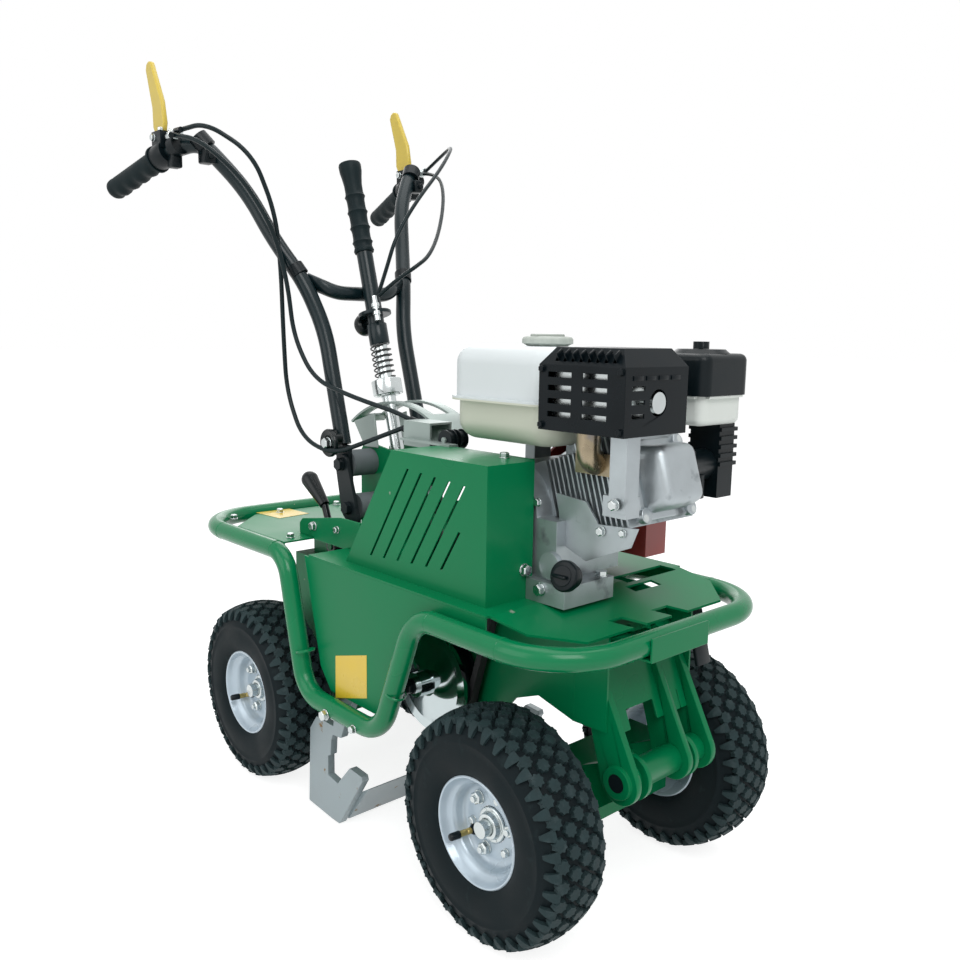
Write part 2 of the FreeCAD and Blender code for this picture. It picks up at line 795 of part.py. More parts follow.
def belt_drive():
    put("drive_pulley", pulley(crank_x, crank_z, drive_pulley_d, drive_shaft_d / 2))
    shaft = drum(crank_x, crank_z, -146, fan_cover_y0 + 8, drive_shaft_d / 2 - 0.02)
    put("crankshaft", shaft, flywheel())
    put("driven_pulley", pulley(driven_x, driven_z, driven_pulley_d, drive_shaft_d / 2))
    shaft_r = drive_shaft_d / 2
    put("driven_shaft", drum(driven_x, driven_z, driven_end_y, belly_half_width + 12, shaft_r - 0.02))
    face = disc_y + 6
    disc = drum(driven_x, driven_z, disc_y, face, disc_d / 2)
    middle = (driven_x, disc_y, driven_z)
    disc = disc.fuse(cone((driven_x, disc_y - 7, driven_z), middle, 20, disc_d / 2 - 14))
    disc = disc.fuse(drum(driven_x, driven_z, disc_y - 27, disc_y, 17))
    disc = disc.cut(drum(driven_x, driven_z, -160, -90, shaft_r))
    put("eccentric_disc", disc.removeSplitter())
    put("drive_belt", belt_solid())
    idler()


def belt_rear_x(z):
    """Where the rear run of the belt's outer face lies at height z."""
    r0 = drive_pulley_d / 2 + belt_height
    r1 = driven_pulley_d / 2 + belt_height
    share = (crank_z - z) / (crank_z - driven_z)
    return (crank_x - r0) * (1 - share) + (driven_x - r1) * share


def idler_spots():
    z = deck_top_z + idler_rise
    r = idler_d / 2
    ix = belt_rear_x(z) - r - idler_gap
    return ix, z, ix - 14, z + idler_arm_length, belt_y - belt_width / 2 - 3


def idler():
    ix, z, px, pz, y0 = idler_spots()
    arm = link_plate((ix, z), (px, pz), 11, 13, y0 - 6, y0)
    arm = arm.fuse(drum(ix, z, y0, belt_y + 9, idler_stud_r))
    arm = arm.cut(drum(px, pz, y0 - 7, y0 + 1, idler_stud_r + shaft_clear))
    put("idler_arm", arm.removeSplitter())
    put("idler_pulley", ring(ix, z, belt_y - 7, belt_y + 8, idler_d / 2, idler_stud_r + shaft_clear))


def idler_bracket():
    px, pz, y0 = idler_spots()[2:]
    b0 = y0 - 6 - body_gap
    bracket = side_plate([(px - 22, deck_top_z), (px + 34, deck_top_z), (px + 16, pz + 14),
                          (px - 16, pz + 14)],
                         b0 - 5, b0)
    bracket = bracket.fuse(box(px - 22, px + 34, b0 - 12, b0, deck_top_z, deck_top_z + 5))
    bracket = bracket.fuse(drum(px, pz, b0, y0 + 3, idler_stud_r))
    return bracket.fuse(drum(px, pz, y0 + body_gap, y0 + 5, 8))


# Belt guard

def guard_outline(inset):
    z1 = guard_top_z - inset
    lean = (guard_top_rear_x - guard_foot_rear_x) / (guard_top_z - deck_top_z)
    shift = inset * math.hypot(1, lean)
    return [(guard_foot_rear_x + shift, deck_top_z), (guard_top_rear_x - lean * inset + shift, z1),
            (guard_front_x - inset, z1), (guard_front_x - inset, deck_top_z)]


def guard():
    t = guard_sheet
    y0 = guard_outer_y
    y1 = guard_inner_y
    shell = side_plate(guard_outline(0), y0, y1)
    hollow = side_plate(guard_outline(t), y0 + t, y1 + 1)
    shell = shell.cut(hollow)
    lean = (guard_top_rear_x - guard_foot_rear_x) / (guard_top_z - deck_top_z)
    pitch = 29.0
    for i in range(guard_slots):
        foot_x = guard_foot_rear_x + 46 + i * pitch
        low = 20.0 + i * 2
        high = 150.0 - i * 2 if i < guard_slots - 1 else 84.0
        pts = [(foot_x + lean * low, deck_top_z + low), (foot_x + lean * high, deck_top_z + high),
               (foot_x + lean * high + guard_slot_width, deck_top_z + high),
               (foot_x + lean * low + guard_slot_width, deck_top_z + low)]
        shell = shell.cut(side_plate(pts, y0 - 1, y0 + t + 1))
    flange = box(guard_top_rear_x + 1, guard_front_x - 12, y1, y1 + 12, guard_top_z - t, guard_top_z)
    shell = shell.fuse(flange)
    put("belt_guard", shell.removeSplitter())


# Engine

def along(d, up, y):
    """Point at d along the bore axis, up across it, and y."""
    t = math.radians(cylinder_tilt)
    return (crank_x + d * math.cos(t) - up * math.sin(t), y, crank_z + d * math.sin(t) + up * math.cos(t))


def bore_block(d0, d1, up0, up1, y0, y1):
    """Box whose long side follows the bore axis."""
    b = box(d0, d1, y0, y1, up0, up1)
    b.rotate(V(0, 0, 0), V(0, 1, 0), -cylinder_tilt)
    return b.translated(V(crank_x, 0, crank_z))


def chamfered(d, half_up, half_y, cut, lift=0.0):
    """Eight-cornered outline square to the bore axis, as a wire."""
    u = half_up
    y = half_y
    spots = [(-u + cut, -y), (u - cut, -y), (u, -y + cut), (u, y - cut), (u - cut, y), (-u + cut, y),
             (-u, y - cut), (-u, -y + cut)]
    pts = [V(*along(d, a + lift, engine_y + b)) for a, b in spots]
    return Part.makePolygon(pts + [pts[0]])


def engine_block():
    x1 = engine_foot_front_x
    x0 = x1 - engine_foot_length
    y0 = engine_foot_y0
    y1 = engine_foot_y1
    z = deck_top_z
    inner = guard_inner_y + seat_gap
    foot = box(x0, x1, inner, y1, z, z + engine_foot_height)
    foot = foot.fuse(box(guard_front_x + seat_gap, x1, y0, inner, z, z + engine_foot_height))
    foot = foot.cut(box(x0 + 26, x1 - 26, y0 + 18, y1 - 18, z - 1, z + 12))
    case = drum(crank_x, crank_z, crankcase_y0, crankcase_y1, crankcase_r)
    top = z + engine_foot_height
    case = case.fuse(box(crank_x - 44, crank_x + 96, crankcase_y0, crankcase_y1 - 24, top, crank_z))
    case = case.fuse(bore_block(20, barrel_start, -barrel_half, barrel_half, engine_y - 56, engine_y + 56))
    case = case.fuse(drum(crank_x, crank_z, crankcase_y0 - 4, crankcase_y0, 34))
    case = case.fuse(drum(crank_x + 92, z + 46, crankcase_y0 - 8, crankcase_y0, 17))
    u = head_half_up
    w = head_half_side
    case = case.cut(bore_block(barrel_start, cover_start, -u, u, -w, w))
    for bracket in tank_brackets():
        case = case.fuse(bracket)
    case = case.fuse(foot).cut(drum(crank_x, crank_z, -200, 200, drive_shaft_d / 2 + shaft_clear))
    case = case.removeSplitter()
    put("engine_crankcase", case, lower_shroud().cut(case), *muffler_bracket())


def finned(d0, d1, core_up, core_y, half_up, half_y, low_up):
    block = bore_block(d0, d1, -core_up, core_up, engine_y - core_y, engine_y + core_y)
    n = int((d1 - d0) / fin_pitch)
    for i in range(n):
        d = d0 + (i + 0.5) * fin_pitch
        t = fin_thick / 2
        fin = bore_block(d - t, d + t, -low_up, half_up, engine_y - half_y, engine_y + half_y)
        block = block.fuse(fin)
    return block


def engine_top():
    barrel = finned(barrel_start, head_start, 40, 40, barrel_half, barrel_half + 4, barrel_half)
    head = finned(head_start, cover_start, 46, 48, head_half_up, head_half_side, head_half_up - 8)
    put("engine_cylinder", barrel.fuse(head).removeSplitter())
    flange = Part.Face(chamfered(cover_start, 48, 50, 10)).extrude(
        V(*along(5, 0, 0)).sub(V(*along(0, 0, 0))))
    body = Part.makeLoft([chamfered(cover_start + 5, 42, 43, 12),
                          chamfered(cover_start + cover_height - 8, 38, 40, 14),
                          chamfered(cover_start + cover_height, 24, 30, 12)], True, True)
    put("valve_cover", flange.fuse(body).removeSplitter())
    n = V(*along(1, 0, 0)).sub(V(*along(0, 0, 0)))
    heads = []
    for a in (-1, 1):
        for b in (-1, 1):
            heads.append(bolt(along(cover_start + 5, a * 44, engine_y + b * 46), (n.x, n.y, n.z), 5))
    return heads


def exhaust():
    px = crank_x + 142.0
    face = engine_y - head_half_side
    py = face - 22
    flange = box(px - 32, px + 32, face - 8, face, crank_z + 62, crank_z + 88)
    pts = [(px, face, crank_z + 76), (px, py, crank_z + 76), (px, py, muffler_z0 + can_gap)]
    stub = pipe(pts, [18], 14, 2)
    put("exhaust_pipe", flange.fuse(stub).removeSplitter())


def muffler_bracket():
    bx = crank_x + 190
    face = engine_y - head_half_side
    beam = box(bx - 12, bx + 12, face - 26, face - 3, crank_z + 26, muffler_z0 + can_gap)
    beam = beam.fuse(box(bx - 22, bx + 12, face - 24, face, crank_z + 20, crank_z + 44))
    return [beam.removeSplitter()]


def muffler():
    x0 = muffler_x0
    x1 = muffler_x1
    y0 = muffler_y0
    y1 = muffler_y1
    z0 = muffler_z0
    z1 = muffler_z1
    c = muffler_chamfer

    def block(i):
        low = box(x0 + i, x1 - i, y0 + i, y1 - i, z0 - (1 if i else 0), z1)
        rim = rect_wire(x0 + i, x1 - i, y0 + i, y1 - i, z1)
        lid = rect_wire(x0 + c + i, x1 - c - i, y0 + c + i, y1 - c - i, muffler_top_z - i)
        return low.fuse(Part.makeLoft([rim, lid], True, True))

    shell = block(0).cut(block(2.0))
    for col in (0, 1):
        for row in range(4):
            sx = x0 + 14 + col * 52
            sz = z0 + 16 + row * 15
            shell = shell.cut(box(sx, sx + 36, y0 - 1, y0 + 3, sz, sz + 6))
    for row in range(3):
        sz = z0 + 20 + row * 15
        shell = shell.cut(box(x1 - 3, x1 + 1, y0 + 12, y0 + 34, sz, sz + 5))
    shell = shell.cut(Part.makeCylinder(15, 8, V(x1 - 5, y0 + 58, z0 + 36), V(1, 0, 0)))
    for i in range(8):
        a = x0 + c + 8 + i * 12
        shell = shell.cut(box(a, a + 5, y0 - 1, y0 + c + 4, z1 + 4, muffler_top_z - 4))
    put("muffler_guard", shell.removeSplitter())
    can = box(x0 + 10, x1 - 14, y0 + 12, y1 - 12, z0 + can_gap, z1 - 4)
    can = can.fuse(Part.makeCylinder(12, 16, V(x1 - 15, y0 + 58, z0 + 36), V(1, 0, 0)))
    for s in (0, 1):
        sx = x0 + 20 + s * 70
        can = can.fuse(box(sx, sx + 14, y1 - 12, y1 - 2.0, z0 + 20, z0 + 40))
    put("muffler", can.removeSplitter())


def rect_wire(x0, x1, y0, y1, z):
    pts = [V(x0, y0, z), V(x1, y0, z), V(x1, y1, z), V(x0, y1, z)]
    return Part.makePolygon(pts + [pts[0]])


def pillow(x0, x1, y0, y1, z0, z1, corner, edge, up):
    """Block with round upright corners and one softened end face."""
    b = box(x0, x1, y0, y1, z0, z1)
    upright = [e for e in b.Edges if abs(e.tangentAt(e.FirstParameter).z) > 0.9]
    b = b.makeFillet(corner, upright)
    end = z1 if up else z0
    rim = [e for e in b.Edges if abs(e.BoundBox.ZMin - end) < 0.01 and abs(e.BoundBox.ZMax - end) < 0.01]
    return b.makeFillet(edge, rim)


def tank():
    x0 = tank_x - tank_half_x
    x1 = tank_x + tank_half_x
    w = tank_half_y
    t = tank_wall
    top = pillow(x0, x1, -w, w, tank_seam_z, tank_top_z, 34, 22, True)
    top = top.cut(pillow(x0 + t, x1 - t, -w + t, w - t, tank_seam_z - 1, tank_top_z - t,
                         34 - t, 22 - t, True))
    top = top.fuse(pillow_ring(x0, x1, w, tank_seam_z, tank_seam_z + 2.5, t))
    neck = Part.makeCylinder(cap_d / 2 - 5, 5, V(tank_x, 0, tank_top_z - 0.5))
    top = top.fuse(neck).cut(Part.makeCylinder(cap_d / 2 - 9, 20, V(tank_x, 0, tank_top_z - 10)))
    edge = min(26, tank_low_depth * 0.49)
    low = pillow(x0 + 3, x1 - 3, -w + 3, w - 3, tank_bottom_z, tank_seam_z, 34, edge, False)
    low = low.cut(pillow(x0 + 3 + t, x1 - 3 - t, -w + 3 + t, w - 3 - t, tank_bottom_z + t, tank_seam_z + 1,
                         34 - t, edge - t, False))
    low = low.fuse(pillow_ring(x0, x1, w, tank_seam_z - 2.5, tank_seam_z, t + 3))
    put("fuel_tank", top.fuse(low).removeSplitter())
    z = tank_top_z + 4.5
    cap = Part.makeCylinder(cap_d / 2, cap_height, V(tank_x, 0, z))
    for i in range(12):
        t = math.radians(30 * i)
        r = cap_d / 2 + 2
        spot = V(tank_x + r * math.cos(t), r * math.sin(t), z - 1)
        cap = cap.cut(Part.makeCylinder(4, cap_height - 3, spot))
    cap = cap.cut(Part.makeCylinder(cap_d / 2 - 5 + body_gap, 4, V(tank_x, 0, z - 1)))
    put("fuel_cap", cap.removeSplitter())


def tank_brackets():
    feet = []
    for sx in (-1, 1):
        x = tank_x + sx * 38
        feet.append(box(x - 9, x + 9, 10, 42, crank_z + crankcase_r - 20, tank_bottom_z))
    return feet


def pillow_ring(x0, x1, w, z0, z1, inset):
    lip = box(x0 - tank_lip, x1 + tank_lip, -w - tank_lip, w + tank_lip, z0, z1)
    upright = [e for e in lip.Edges if abs(e.tangentAt(e.FirstParameter).z) > 0.9]
    lip = lip.makeFillet(34 + tank_lip, upright)
    hole = box(x0 + inset, x1 - inset, -w + inset, w - inset, z0 - 1, z1 + 1)
    upright = [e for e in hole.Edges if abs(e.tangentAt(e.FirstParameter).z) > 0.9]
    return lip.cut(hole.makeFillet(34 - inset, upright))


def air_cleaner():
    x0 = cleaner_x0
    x1 = cleaner_x1
    y0 = cleaner_y0
    y1 = cleaner_y1
    cover = pillow(x0, x1, y0, y1, cleaner_z0, cleaner_z1, 16, 9, True)
    cover = cover.cut(pillow(x0 + 2, x1 - 2, y0 + 2, y1 - 2, cleaner_z0 - 1, cleaner_z1 - 2, 14, 7, True))
    cx = (x0 + x1) / 2
    cy = (y0 + y1) / 2
    disc = Part.makeCone(36, 30, 5, V(cx, cy, cleaner_z1))
    stud_hole = Part.makeCylinder(3.2, 40, V(cx, cy, cleaner_z1 - 10))
    cover = cover.fuse(disc).cut(stud_hole)
    low = pillow(x0 + 6, x1 - 6, y0 + 6, y1 - 6, cleaner_body_z0, cleaner_z0, 12, 8, False)
    low = low.fuse(box(x0 + 1, x1 - 1, y0 + 14, y1 - 14, cleaner_z0 - 3, cleaner_z0))
    low = low.fuse(box(x0 + 14, x1 - 14, y0 + 1, y1 - 1, cleaner_z0 - 3, cleaner_z0))
    low = low.cut(box(x0 + 16, x1 - 16, y0 + 16, y1 - 16, cleaner_body_z0 + 4, cleaner_z0 + 1))
    foam = box(x0 + 18, x1 - 18, y0 + 18, y1 - 18, cleaner_body_z0 + 4, cleaner_z1 - 6)
    foam = foam.cut(Part.makeCylinder(6, 90, V(cx, cy, cleaner_body_z0)))
    put("air_cleaner_body", low.removeSplitter(), foam)
    knob = Part.makeCylinder(10, 9, V(cx, cy, cleaner_z1 + 5 + body_gap))
    knob = knob.fuse(Part.makeCylinder(3, cleaner_z1 - cleaner_body_z0 + 4, V(cx, cy, cleaner_body_z0 + 4)))
    put("air_cleaner_cover", cover.removeSplitter(), knob.removeSplitter())
    port = engine_y + head_half_side
    carb = Part.makeCylinder(20, duct_y0 - port, V(cx + 4, port, crank_z + 62), V(0, 1, 0))
    carb = carb.fuse(Part.makeCylinder(19, 30, V(cx + 4, 88, crank_z + 22)))
    carb = carb.fuse(box(cx - 18, cx + 26, port, port + 6, crank_z + 40, crank_z + 84))
    duct = box(cx - 18, cx + 26, duct_y0, duct_y0 + 33, crank_z + 20, cleaner_body_z0)
    for i in range(5):
        z = cleaner_body_z0 - 10 - i * 11
        duct = duct.fuse(box(cx - 21, cx + 29, duct_y0, duct_y0 + 36, z, z + 5))
    put("carburettor", carb.removeSplitter(), duct.removeSplitter())


def fan_cover():
    y0 = fan_cover_y0
    y1 = fan_cover_y1
    shell = drum(crank_x, crank_z, y0, y1, fan_cover_r)
    shell = shell.fuse(box(crank_x + 20, crank_x + 118, y0, y1 - 24, crank_z - 62, crank_z + 40))
    dome = cone((crank_x, y1, crank_z), (crank_x, y1 + 12, crank_z), fan_cover_r - 14, fan_cover_r - 28)
    shell = shell.fuse(dome)
    shell = shell.cut(drum(crank_x, crank_z, y0 - 1, y1 - 3, fan_cover_r - 3))
    put("fan_cover", shell.removeSplitter())


def flywheel():
    y0 = fan_cover_y0
    wheel_y1 = fan_cover_y1 - 14
    fan = drum(crank_x, crank_z, y0 + 8, y0 + 26, fan_cover_r - 14)
    for i in range(12):
        r0 = fan_cover_r - 44
        r1 = fan_cover_r - 15
        blade = box(r0, r1, y0 + 26, wheel_y1, -1.5, 1.5)
        blade.rotate(V(0, 0, 0), V(0, 1, 0), 30 * i)
        fan = fan.fuse(blade.translated(V(crank_x, 0, crank_z)))
    return fan.removeSplitter()


def lower_shroud():
    y = engine_y - head_half_side - 4
    pts = [(crank_x + 80, crank_z + 32), (crank_x + 128, crank_z + 28), (crank_x + 148, crank_z + 4),
           (crank_x + 206, crank_z + 8), (crank_x + 196, crank_z - 16), (crank_x + 130, crank_z - 44),
           (crank_x + 92, crank_z - 30)]
    return side_plate(pts, y - 3, y)


def engine():
    engine_block()
    heads = engine_top()
    exhaust()
    muffler()
    tank()
    air_cleaner()
    fan_cover()
    z = deck_top_z + engine_foot_height
    for x in (engine_foot_front_x - 10, engine_foot_front_x - engine_foot_length + 10):
        for y in (engine_foot_y0 + 12, engine_foot_y1 - 12):
            heads.append(bolt((x, y, z), (0, 0, 1), 8))
    put("engine_bolts", *heads)


# Blade

def blade():
    t = blade_arm_thick
    y0 = -blade_arm_y
    z = blade_low_z
    pts = [(-50, z + 2), (-44, 128), (-26, 152), (20, 152),
           (36, blade_pivot_z + 14), (66, blade_pivot_z + 14),
           (70, blade_pivot_z - 20), (40, 140), (19, 138), (14, 128), (12, 104), (5, 100), (5, 70), (30, 66),
           (62, 96 + z), (92, 94 + z), (94, 88 + z), (34, z - 2), (14, z - 2)]
    arm = side_plate(pts, y0, y0 + t)
    arm = arm.cut(drum(blade_pivot_x, blade_pivot_z, y0 - 1, y0 + t + 1, 8 + shaft_clear))
    put("blade_arms", arm, mirrored(arm))
    w = blade_arm_y - t
    edge = box(0, blade_length_x, -w, w, 0, blade_thick)
    bevel = [(blade_length_x - 22, blade_thick + 1), (blade_length_x + 1, 1),
             (blade_length_x + 1, blade_thick + 1)]
    edge = edge.cut(side_plate(bevel, -w - 1, w + 1))
    edge.rotate(V(0, 0, 0), V(0, 1, 0), -52)
    put("cutting_blade", edge.translated(V(40, 0, z + 4)))
    pins = []
    for s in (-1, 1):
        far = side_in_y - sheet
        near = blade_arm_y - t
        outer = (blade_pivot_x, s * far, blade_pivot_z)
        pins.append(rod(outer, (blade_pivot_x, s * (near - 10), blade_pivot_z), 8))
    return pins


# Handlebar

def bar_route(s):
    route = [bar_foot, bar_knee, bar_cross, bar_rise, bar_shoulder, bar_top, bar_hand, bar_grip_end]
    return [(x, s * y, z) for x, y, z in route]


def bar_side(s):
    pts = bar_route(s)
    return pipe(pts, soft_radii(pts), bar_d / 2, bar_wall)


def bar_core(s, extra=0.0):
    pts = bar_route(s)
    return pipe(pts, soft_radii(pts), bar_d / 2 + extra)


def handlebar():
    r = bar_d / 2
    inner = bar_cross[1] - 6
    pts = [(bar_cross[0] - 6, -inner, bar_cross[2] + 4), (bar_cross[0] + 16, -inner + 44, bar_cross[2] - 16),
           (bar_cross[0] + 16, inner - 44, bar_cross[2] - 16), (bar_cross[0] - 6, inner, bar_cross[2] + 4)]
    cross = pipe(pts, [50, 50], r - 1, bar_wall)
    for s in (-1, 1):
        cross = cross.cut(bar_core(s))
    cross = max(cross.Solids, key=lambda c: c.Volume)
    put("handlebar", bar_side(-1), bar_side(1), cross)


def grip(s):
    a, d = handle_frame(s)
    b = a.add(d)
    n = V(d.x, d.y, d.z)
    n.normalize()
    start = a.add(n * (d.Length * grip_share))
    end = b.add(n * 4)
    body = rod(tuple(start), tuple(end), grip_d / 2)
    body = body.fuse(rod(tuple(start), tuple(start.add(n * 5)), grip_d / 2 + 5))
    bore = rod(tuple(start.sub(n)), tuple(b.add(n * seat_gap)), bar_d / 2 + seat_gap)
    return body.cut(bore).removeSplitter()


def handle_frame(s):
    """Direction along the hand part of the bar, and a point on it at a share of its length."""
    a = V(bar_hand[0], s * bar_hand[1], bar_hand[2])
    b = V(bar_grip_end[0], s * bar_grip_end[1], bar_grip_end[2])
    return a, b.sub(a)


def lever_housing(s):
    n = handle_frame(s)[1]
    n.normalize()
    p = housing_point(s)
    clamp = rod(tuple(p.sub(n * 15)), tuple(p.add(n * 15)), bar_d / 2 + 7)
    head = box(p.x - 15, p.x + 17, p.y - 13, p.y + 13, p.z + 8, p.z + 34)
    stem = rod((p.x + 12, p.y, p.z + 22), (p.x + 52, p.y, p.z + 26), 6.5)
    out = clamp.fuse(head).fuse(stem)
    half = hand_lever_thick / 2 + body_gap
    slot = box(p.x - 40, p.x + 4, p.y - half, p.y + half, p.z + bar_d / 2 + 4, p.z + 60)
    out = out.cut(slot)
    pin = rod((p.x - 6, p.y - 13, p.z + 25), (p.x - 6, p.y + 13, p.z + 25), 3)
    out = out.fuse(pin)
    out = out.cut(bar_core(s, seat_gap))
    return max(out.removeSplitter().Solids, key=lambda c: c.Volume)


def housing_point(s):
    a, d = handle_frame(s)
    return a.add(d * housing_share)


def hand_lever(s):
    p = housing_point(s)
    px = p.x - 6
    pz = p.z + 25
    t = hand_lever_thick / 2
    tip_x = hand_tip[0]
    tip_z = hand_tip[2]
    pts = [(px - 7, pz - 5), (px + 7, pz + 1), (px + 4, pz + 30), (tip_x + 14, tip_z - 6), (tip_x + 6, tip_z),
           (tip_x - 4, tip_z - 2), (tip_x - 9, tip_z - 14), (px - 14, pz + 28)]
    arm = side_plate(pts, p.y - t, p.y + t)
    arm = arm.cut(rod((px, p.y - 20, pz), (px, p.y + 20, pz), 3 + shaft_clear))
    return arm


def hand_controls():
    put("grips", grip(-1), grip(1))
    put("lever_housings", lever_housing(-1), lever_housing(1))
    put("hand_lever_right", hand_lever(-1))
    put("hand_lever_left", hand_lever(1))


def star_knob(p, axis):
    """Five-lobed hand knob."""
    n = V(*axis)
    n.normalize()
    u = n.cross(V(0, 0, 1))
    u.normalize()
    w = n.cross(u)
    body = Part.makeCylinder(15, knob_depth, V(*p), n)
    for i in range(5):
        t = math.radians(72 * i)
        c = V(*p).add(u * (14 * math.cos(t))).add(w * (14 * math.sin(t)))
        body = body.fuse(Part.makeCylinder(7, knob_depth, c, n))
    return body.removeSplitter()


def star_knobs():
    """Clamping knobs outboard of the two tube feet."""
    out = []
    for s in (-1, 1):
        y = s * (bar_foot[1] + bar_d / 2 + seat_gap)
        out.append(star_knob((bar_foot[0], y, bar_foot[2] + 4), (0, s, 0)))
    put("star_knobs", *out)


# Rubber mounts and tower

def handle_mounts():
    links = []
    bushes = []
    for s in (-1, 1):
        y0 = s * (bar_foot[1] - strap_thick / 2)
        y1 = s * (bar_foot[1] + strap_thick / 2)
        foot = (mount_upper[0] + 6, strap_foot_z)
        strap = side_plate([(bar_foot[0] - 20, bar_foot[2]), (bar_foot[0] + 18, bar_foot[2]),
                            (foot[0] + 12, foot[1] + 4), (foot[0] - 8, foot[1])], y0, y1)
        for m in (mount_upper, mount_lower):
            strap = strap.cut(drum(m[0], m[1], s * 60, s * 100, 5.2))
        y2 = y1 + s * seat_gap
        y3 = y2 + s * 6
        link = link_plate(mount_upper, mount_lower, 16, 20, y2, y3)
        low = (mount_lower[0] + 12, mount_lower[1] - 16)
        link = link.fuse(link_plate(mount_lower, low, 20, 14, y2, y3))
        link = link.cut(drum(mount_upper[0], mount_upper[1], s * 60, s * 100, 5.2))
        link = link.cut(drum(mount_lower[0], mount_lower[1], s * 60, s * 100, 5.2)).removeSplitter()
        strap = strap.cut(bar_core(s))
        links += [strap.removeSplitter(), link]
        for m in (mount_upper, mount_lower):
            head = bolt((m[0], y3, m[1]), (0, s, 0), bolt_d, abs(y3) - tower_half_width - 1)
            links.append(head)
            inner = s * (tower_half_width + seat_gap)
            bushes.append(ring(m[0], m[1], inner, y0 - s * seat_gap, bush_r, 5.2))
    put("handle_links", *links)
    put("rubber_bushes", *bushes)


def tower():
    w = tower_half_width
    z0 = deck_top_z
    z1 = 556.0
    pts = [(mount_upper[0] - 28, z0), (mount_upper[0] - 28, z1 - 22), (mount_upper[0] - 16, z1 - 6),
           (lever_pivot_x - 6, z1 - 16), (lever_pivot_x + 34, z0)]
    out = None
    for s in (-1, 1):
        side = side_plate(pts, s * w, s * (w - 4))
        for m in (mount_upper, mount_lower):
            side = side.cut(drum(m[0], m[1], s * (w - 6), s * (w + 2), 5.3))
        out = side if out is None else out.fuse(side)
    back = box(mount_upper[0] - 28, mount_upper[0] - 24, -w + 4, w - 4, z0, z1 - 26)
    out = out.fuse(back)
    base = box(mount_upper[0] - 28, deck_rear_x - 2, -w - 26, w + 26, z0, z0 + 4)
    base = base.fuse(box(deck_rear_x - 2, lever_pivot_x + 34, -w + 4, w - 4, z0, z0 + 4))
    out = out.fuse(base)
    pivot = rod((lever_pivot_x, -w, lever_pivot_z), (lever_pivot_x, w, lever_pivot_z), 6)
    put("tower", out.fuse(pivot).removeSplitter())


def arc_strip(r0, r1, a0, a1, y0, y1):
    """Strip bent round the lever pivot, with angles in degrees forward of upright."""
    band = ring(lever_pivot_x, lever_pivot_z, y0, y1, r1, r0)
    far = r1 * 3
    wedge = [(lever_pivot_x, lever_pivot_z)]
    for i in range(5):
        t = math.radians(a0 + (a1 - a0) * i / 4)
        wedge.append((lever_pivot_x + far * math.sin(t), lever_pivot_z + far * math.cos(t)))
    return band.common(side_plate(wedge, y0 - 1, y1 + 1))


def quadrant():
    w = quadrant_width / 2
    r1 = quadrant_r + quadrant_sheet
    a = quadrant_half_angle
    strip = arc_strip(quadrant_r, r1, -a, a, -w, w)
    slot = arc_strip(quadrant_r - 2, r1 + 2, -a + 6, a - 14, -quadrant_slot / 2, quadrant_slot / 2)
    strip = strip.cut(slot)
    t = math.radians(a)
    rear_x = lever_pivot_x - quadrant_r * math.sin(t)
    rear_z = lever_pivot_z + quadrant_r * math.cos(t)
    tw = tower_half_width
    for s in (-1, 1):
        y0 = s * (tw + seat_gap)
        leg = side_plate([(rear_x + 6, rear_z + 3), (rear_x + 62, rear_z + 20), (rear_x + 72, 542),
                          (rear_x + 36, 541)],
                         y0, s * w)
        strip = strip.fuse(leg)
    put("quadrant", strip.removeSplitter())


def lean_point(d, side=0.0, y=0.0):
    """Point at height d up the resting depth lever, side measured forward of it."""
    t = math.radians(lever_lean)
    return (lever_pivot_x - d * math.sin(t) + side * math.cos(t), y,
            lever_pivot_z + d * math.cos(t) + side * math.sin(t))


def lean_rod(d0, d1, r):
    return rod(lean_point(d0), lean_point(d1), r)


def depth_lever():
    lower = lean_rod(8, latch_z0 + 120, lever_rod_d / 2)
    half = tower_half_width - 4 - body_gap
    eye = ring(lever_pivot_x, lever_pivot_z, -half, half, 13,
               6 + shaft_clear)
    lower = lower.fuse(eye).cut(drum(lever_pivot_x, lever_pivot_z, -40, 40, 6 + shaft_clear))
    tube = lean_rod(collar_z, lever_top - 8, lever_tube_d / 2)
    tube = tube.cut(lean_rod(collar_z - 1, latch_z0 + 120 + seat_gap, lever_rod_d / 2 + seat_gap))
    collar = lean_rod(collar_z + 14, collar_z + 20, 26)
    whole = tube.fuse(collar)
    put("depth_lever", lower.removeSplitter(), whole.removeSplitter())
    handle = None
    bands = [(grip_z0, 15.5), (grip_z0 + 26, 14.2), (grip_z0 + 52, 16), (grip_z0 + 78, 14.2),
             (lever_top - 18, 18)]
    for i in range(len(bands) - 1):
        a, ra = bands[i]
        b, rb = bands[i + 1]
        piece = cone(lean_point(a), lean_point(b), ra, rb)
        handle = piece if handle is None else handle.fuse(piece)
    handle = handle.fuse(lean_rod(lever_top - 18, lever_top, 18))
    handle = handle.cut(lean_rod(grip_z0 - 1, lever_top - 8 + seat_gap, lever_tube_d / 2 + seat_gap))
    put("depth_lever_grip", handle.removeSplitter())


def latch():
    r = lever_rod_d / 2 + body_gap
    sleeve = lean_rod(latch_z0, spring_z0, r + 7)
    plate_in = rod(lean_point(latch_z0 + 2), lean_point(latch_z0 + 26), 24)
    sleeve = sleeve.fuse(plate_in)
    sleeve = sleeve.cut(lean_rod(latch_z0 - 1, spring_z0 + 1, r))
    put("latch_sleeve", sleeve.removeSplitter())


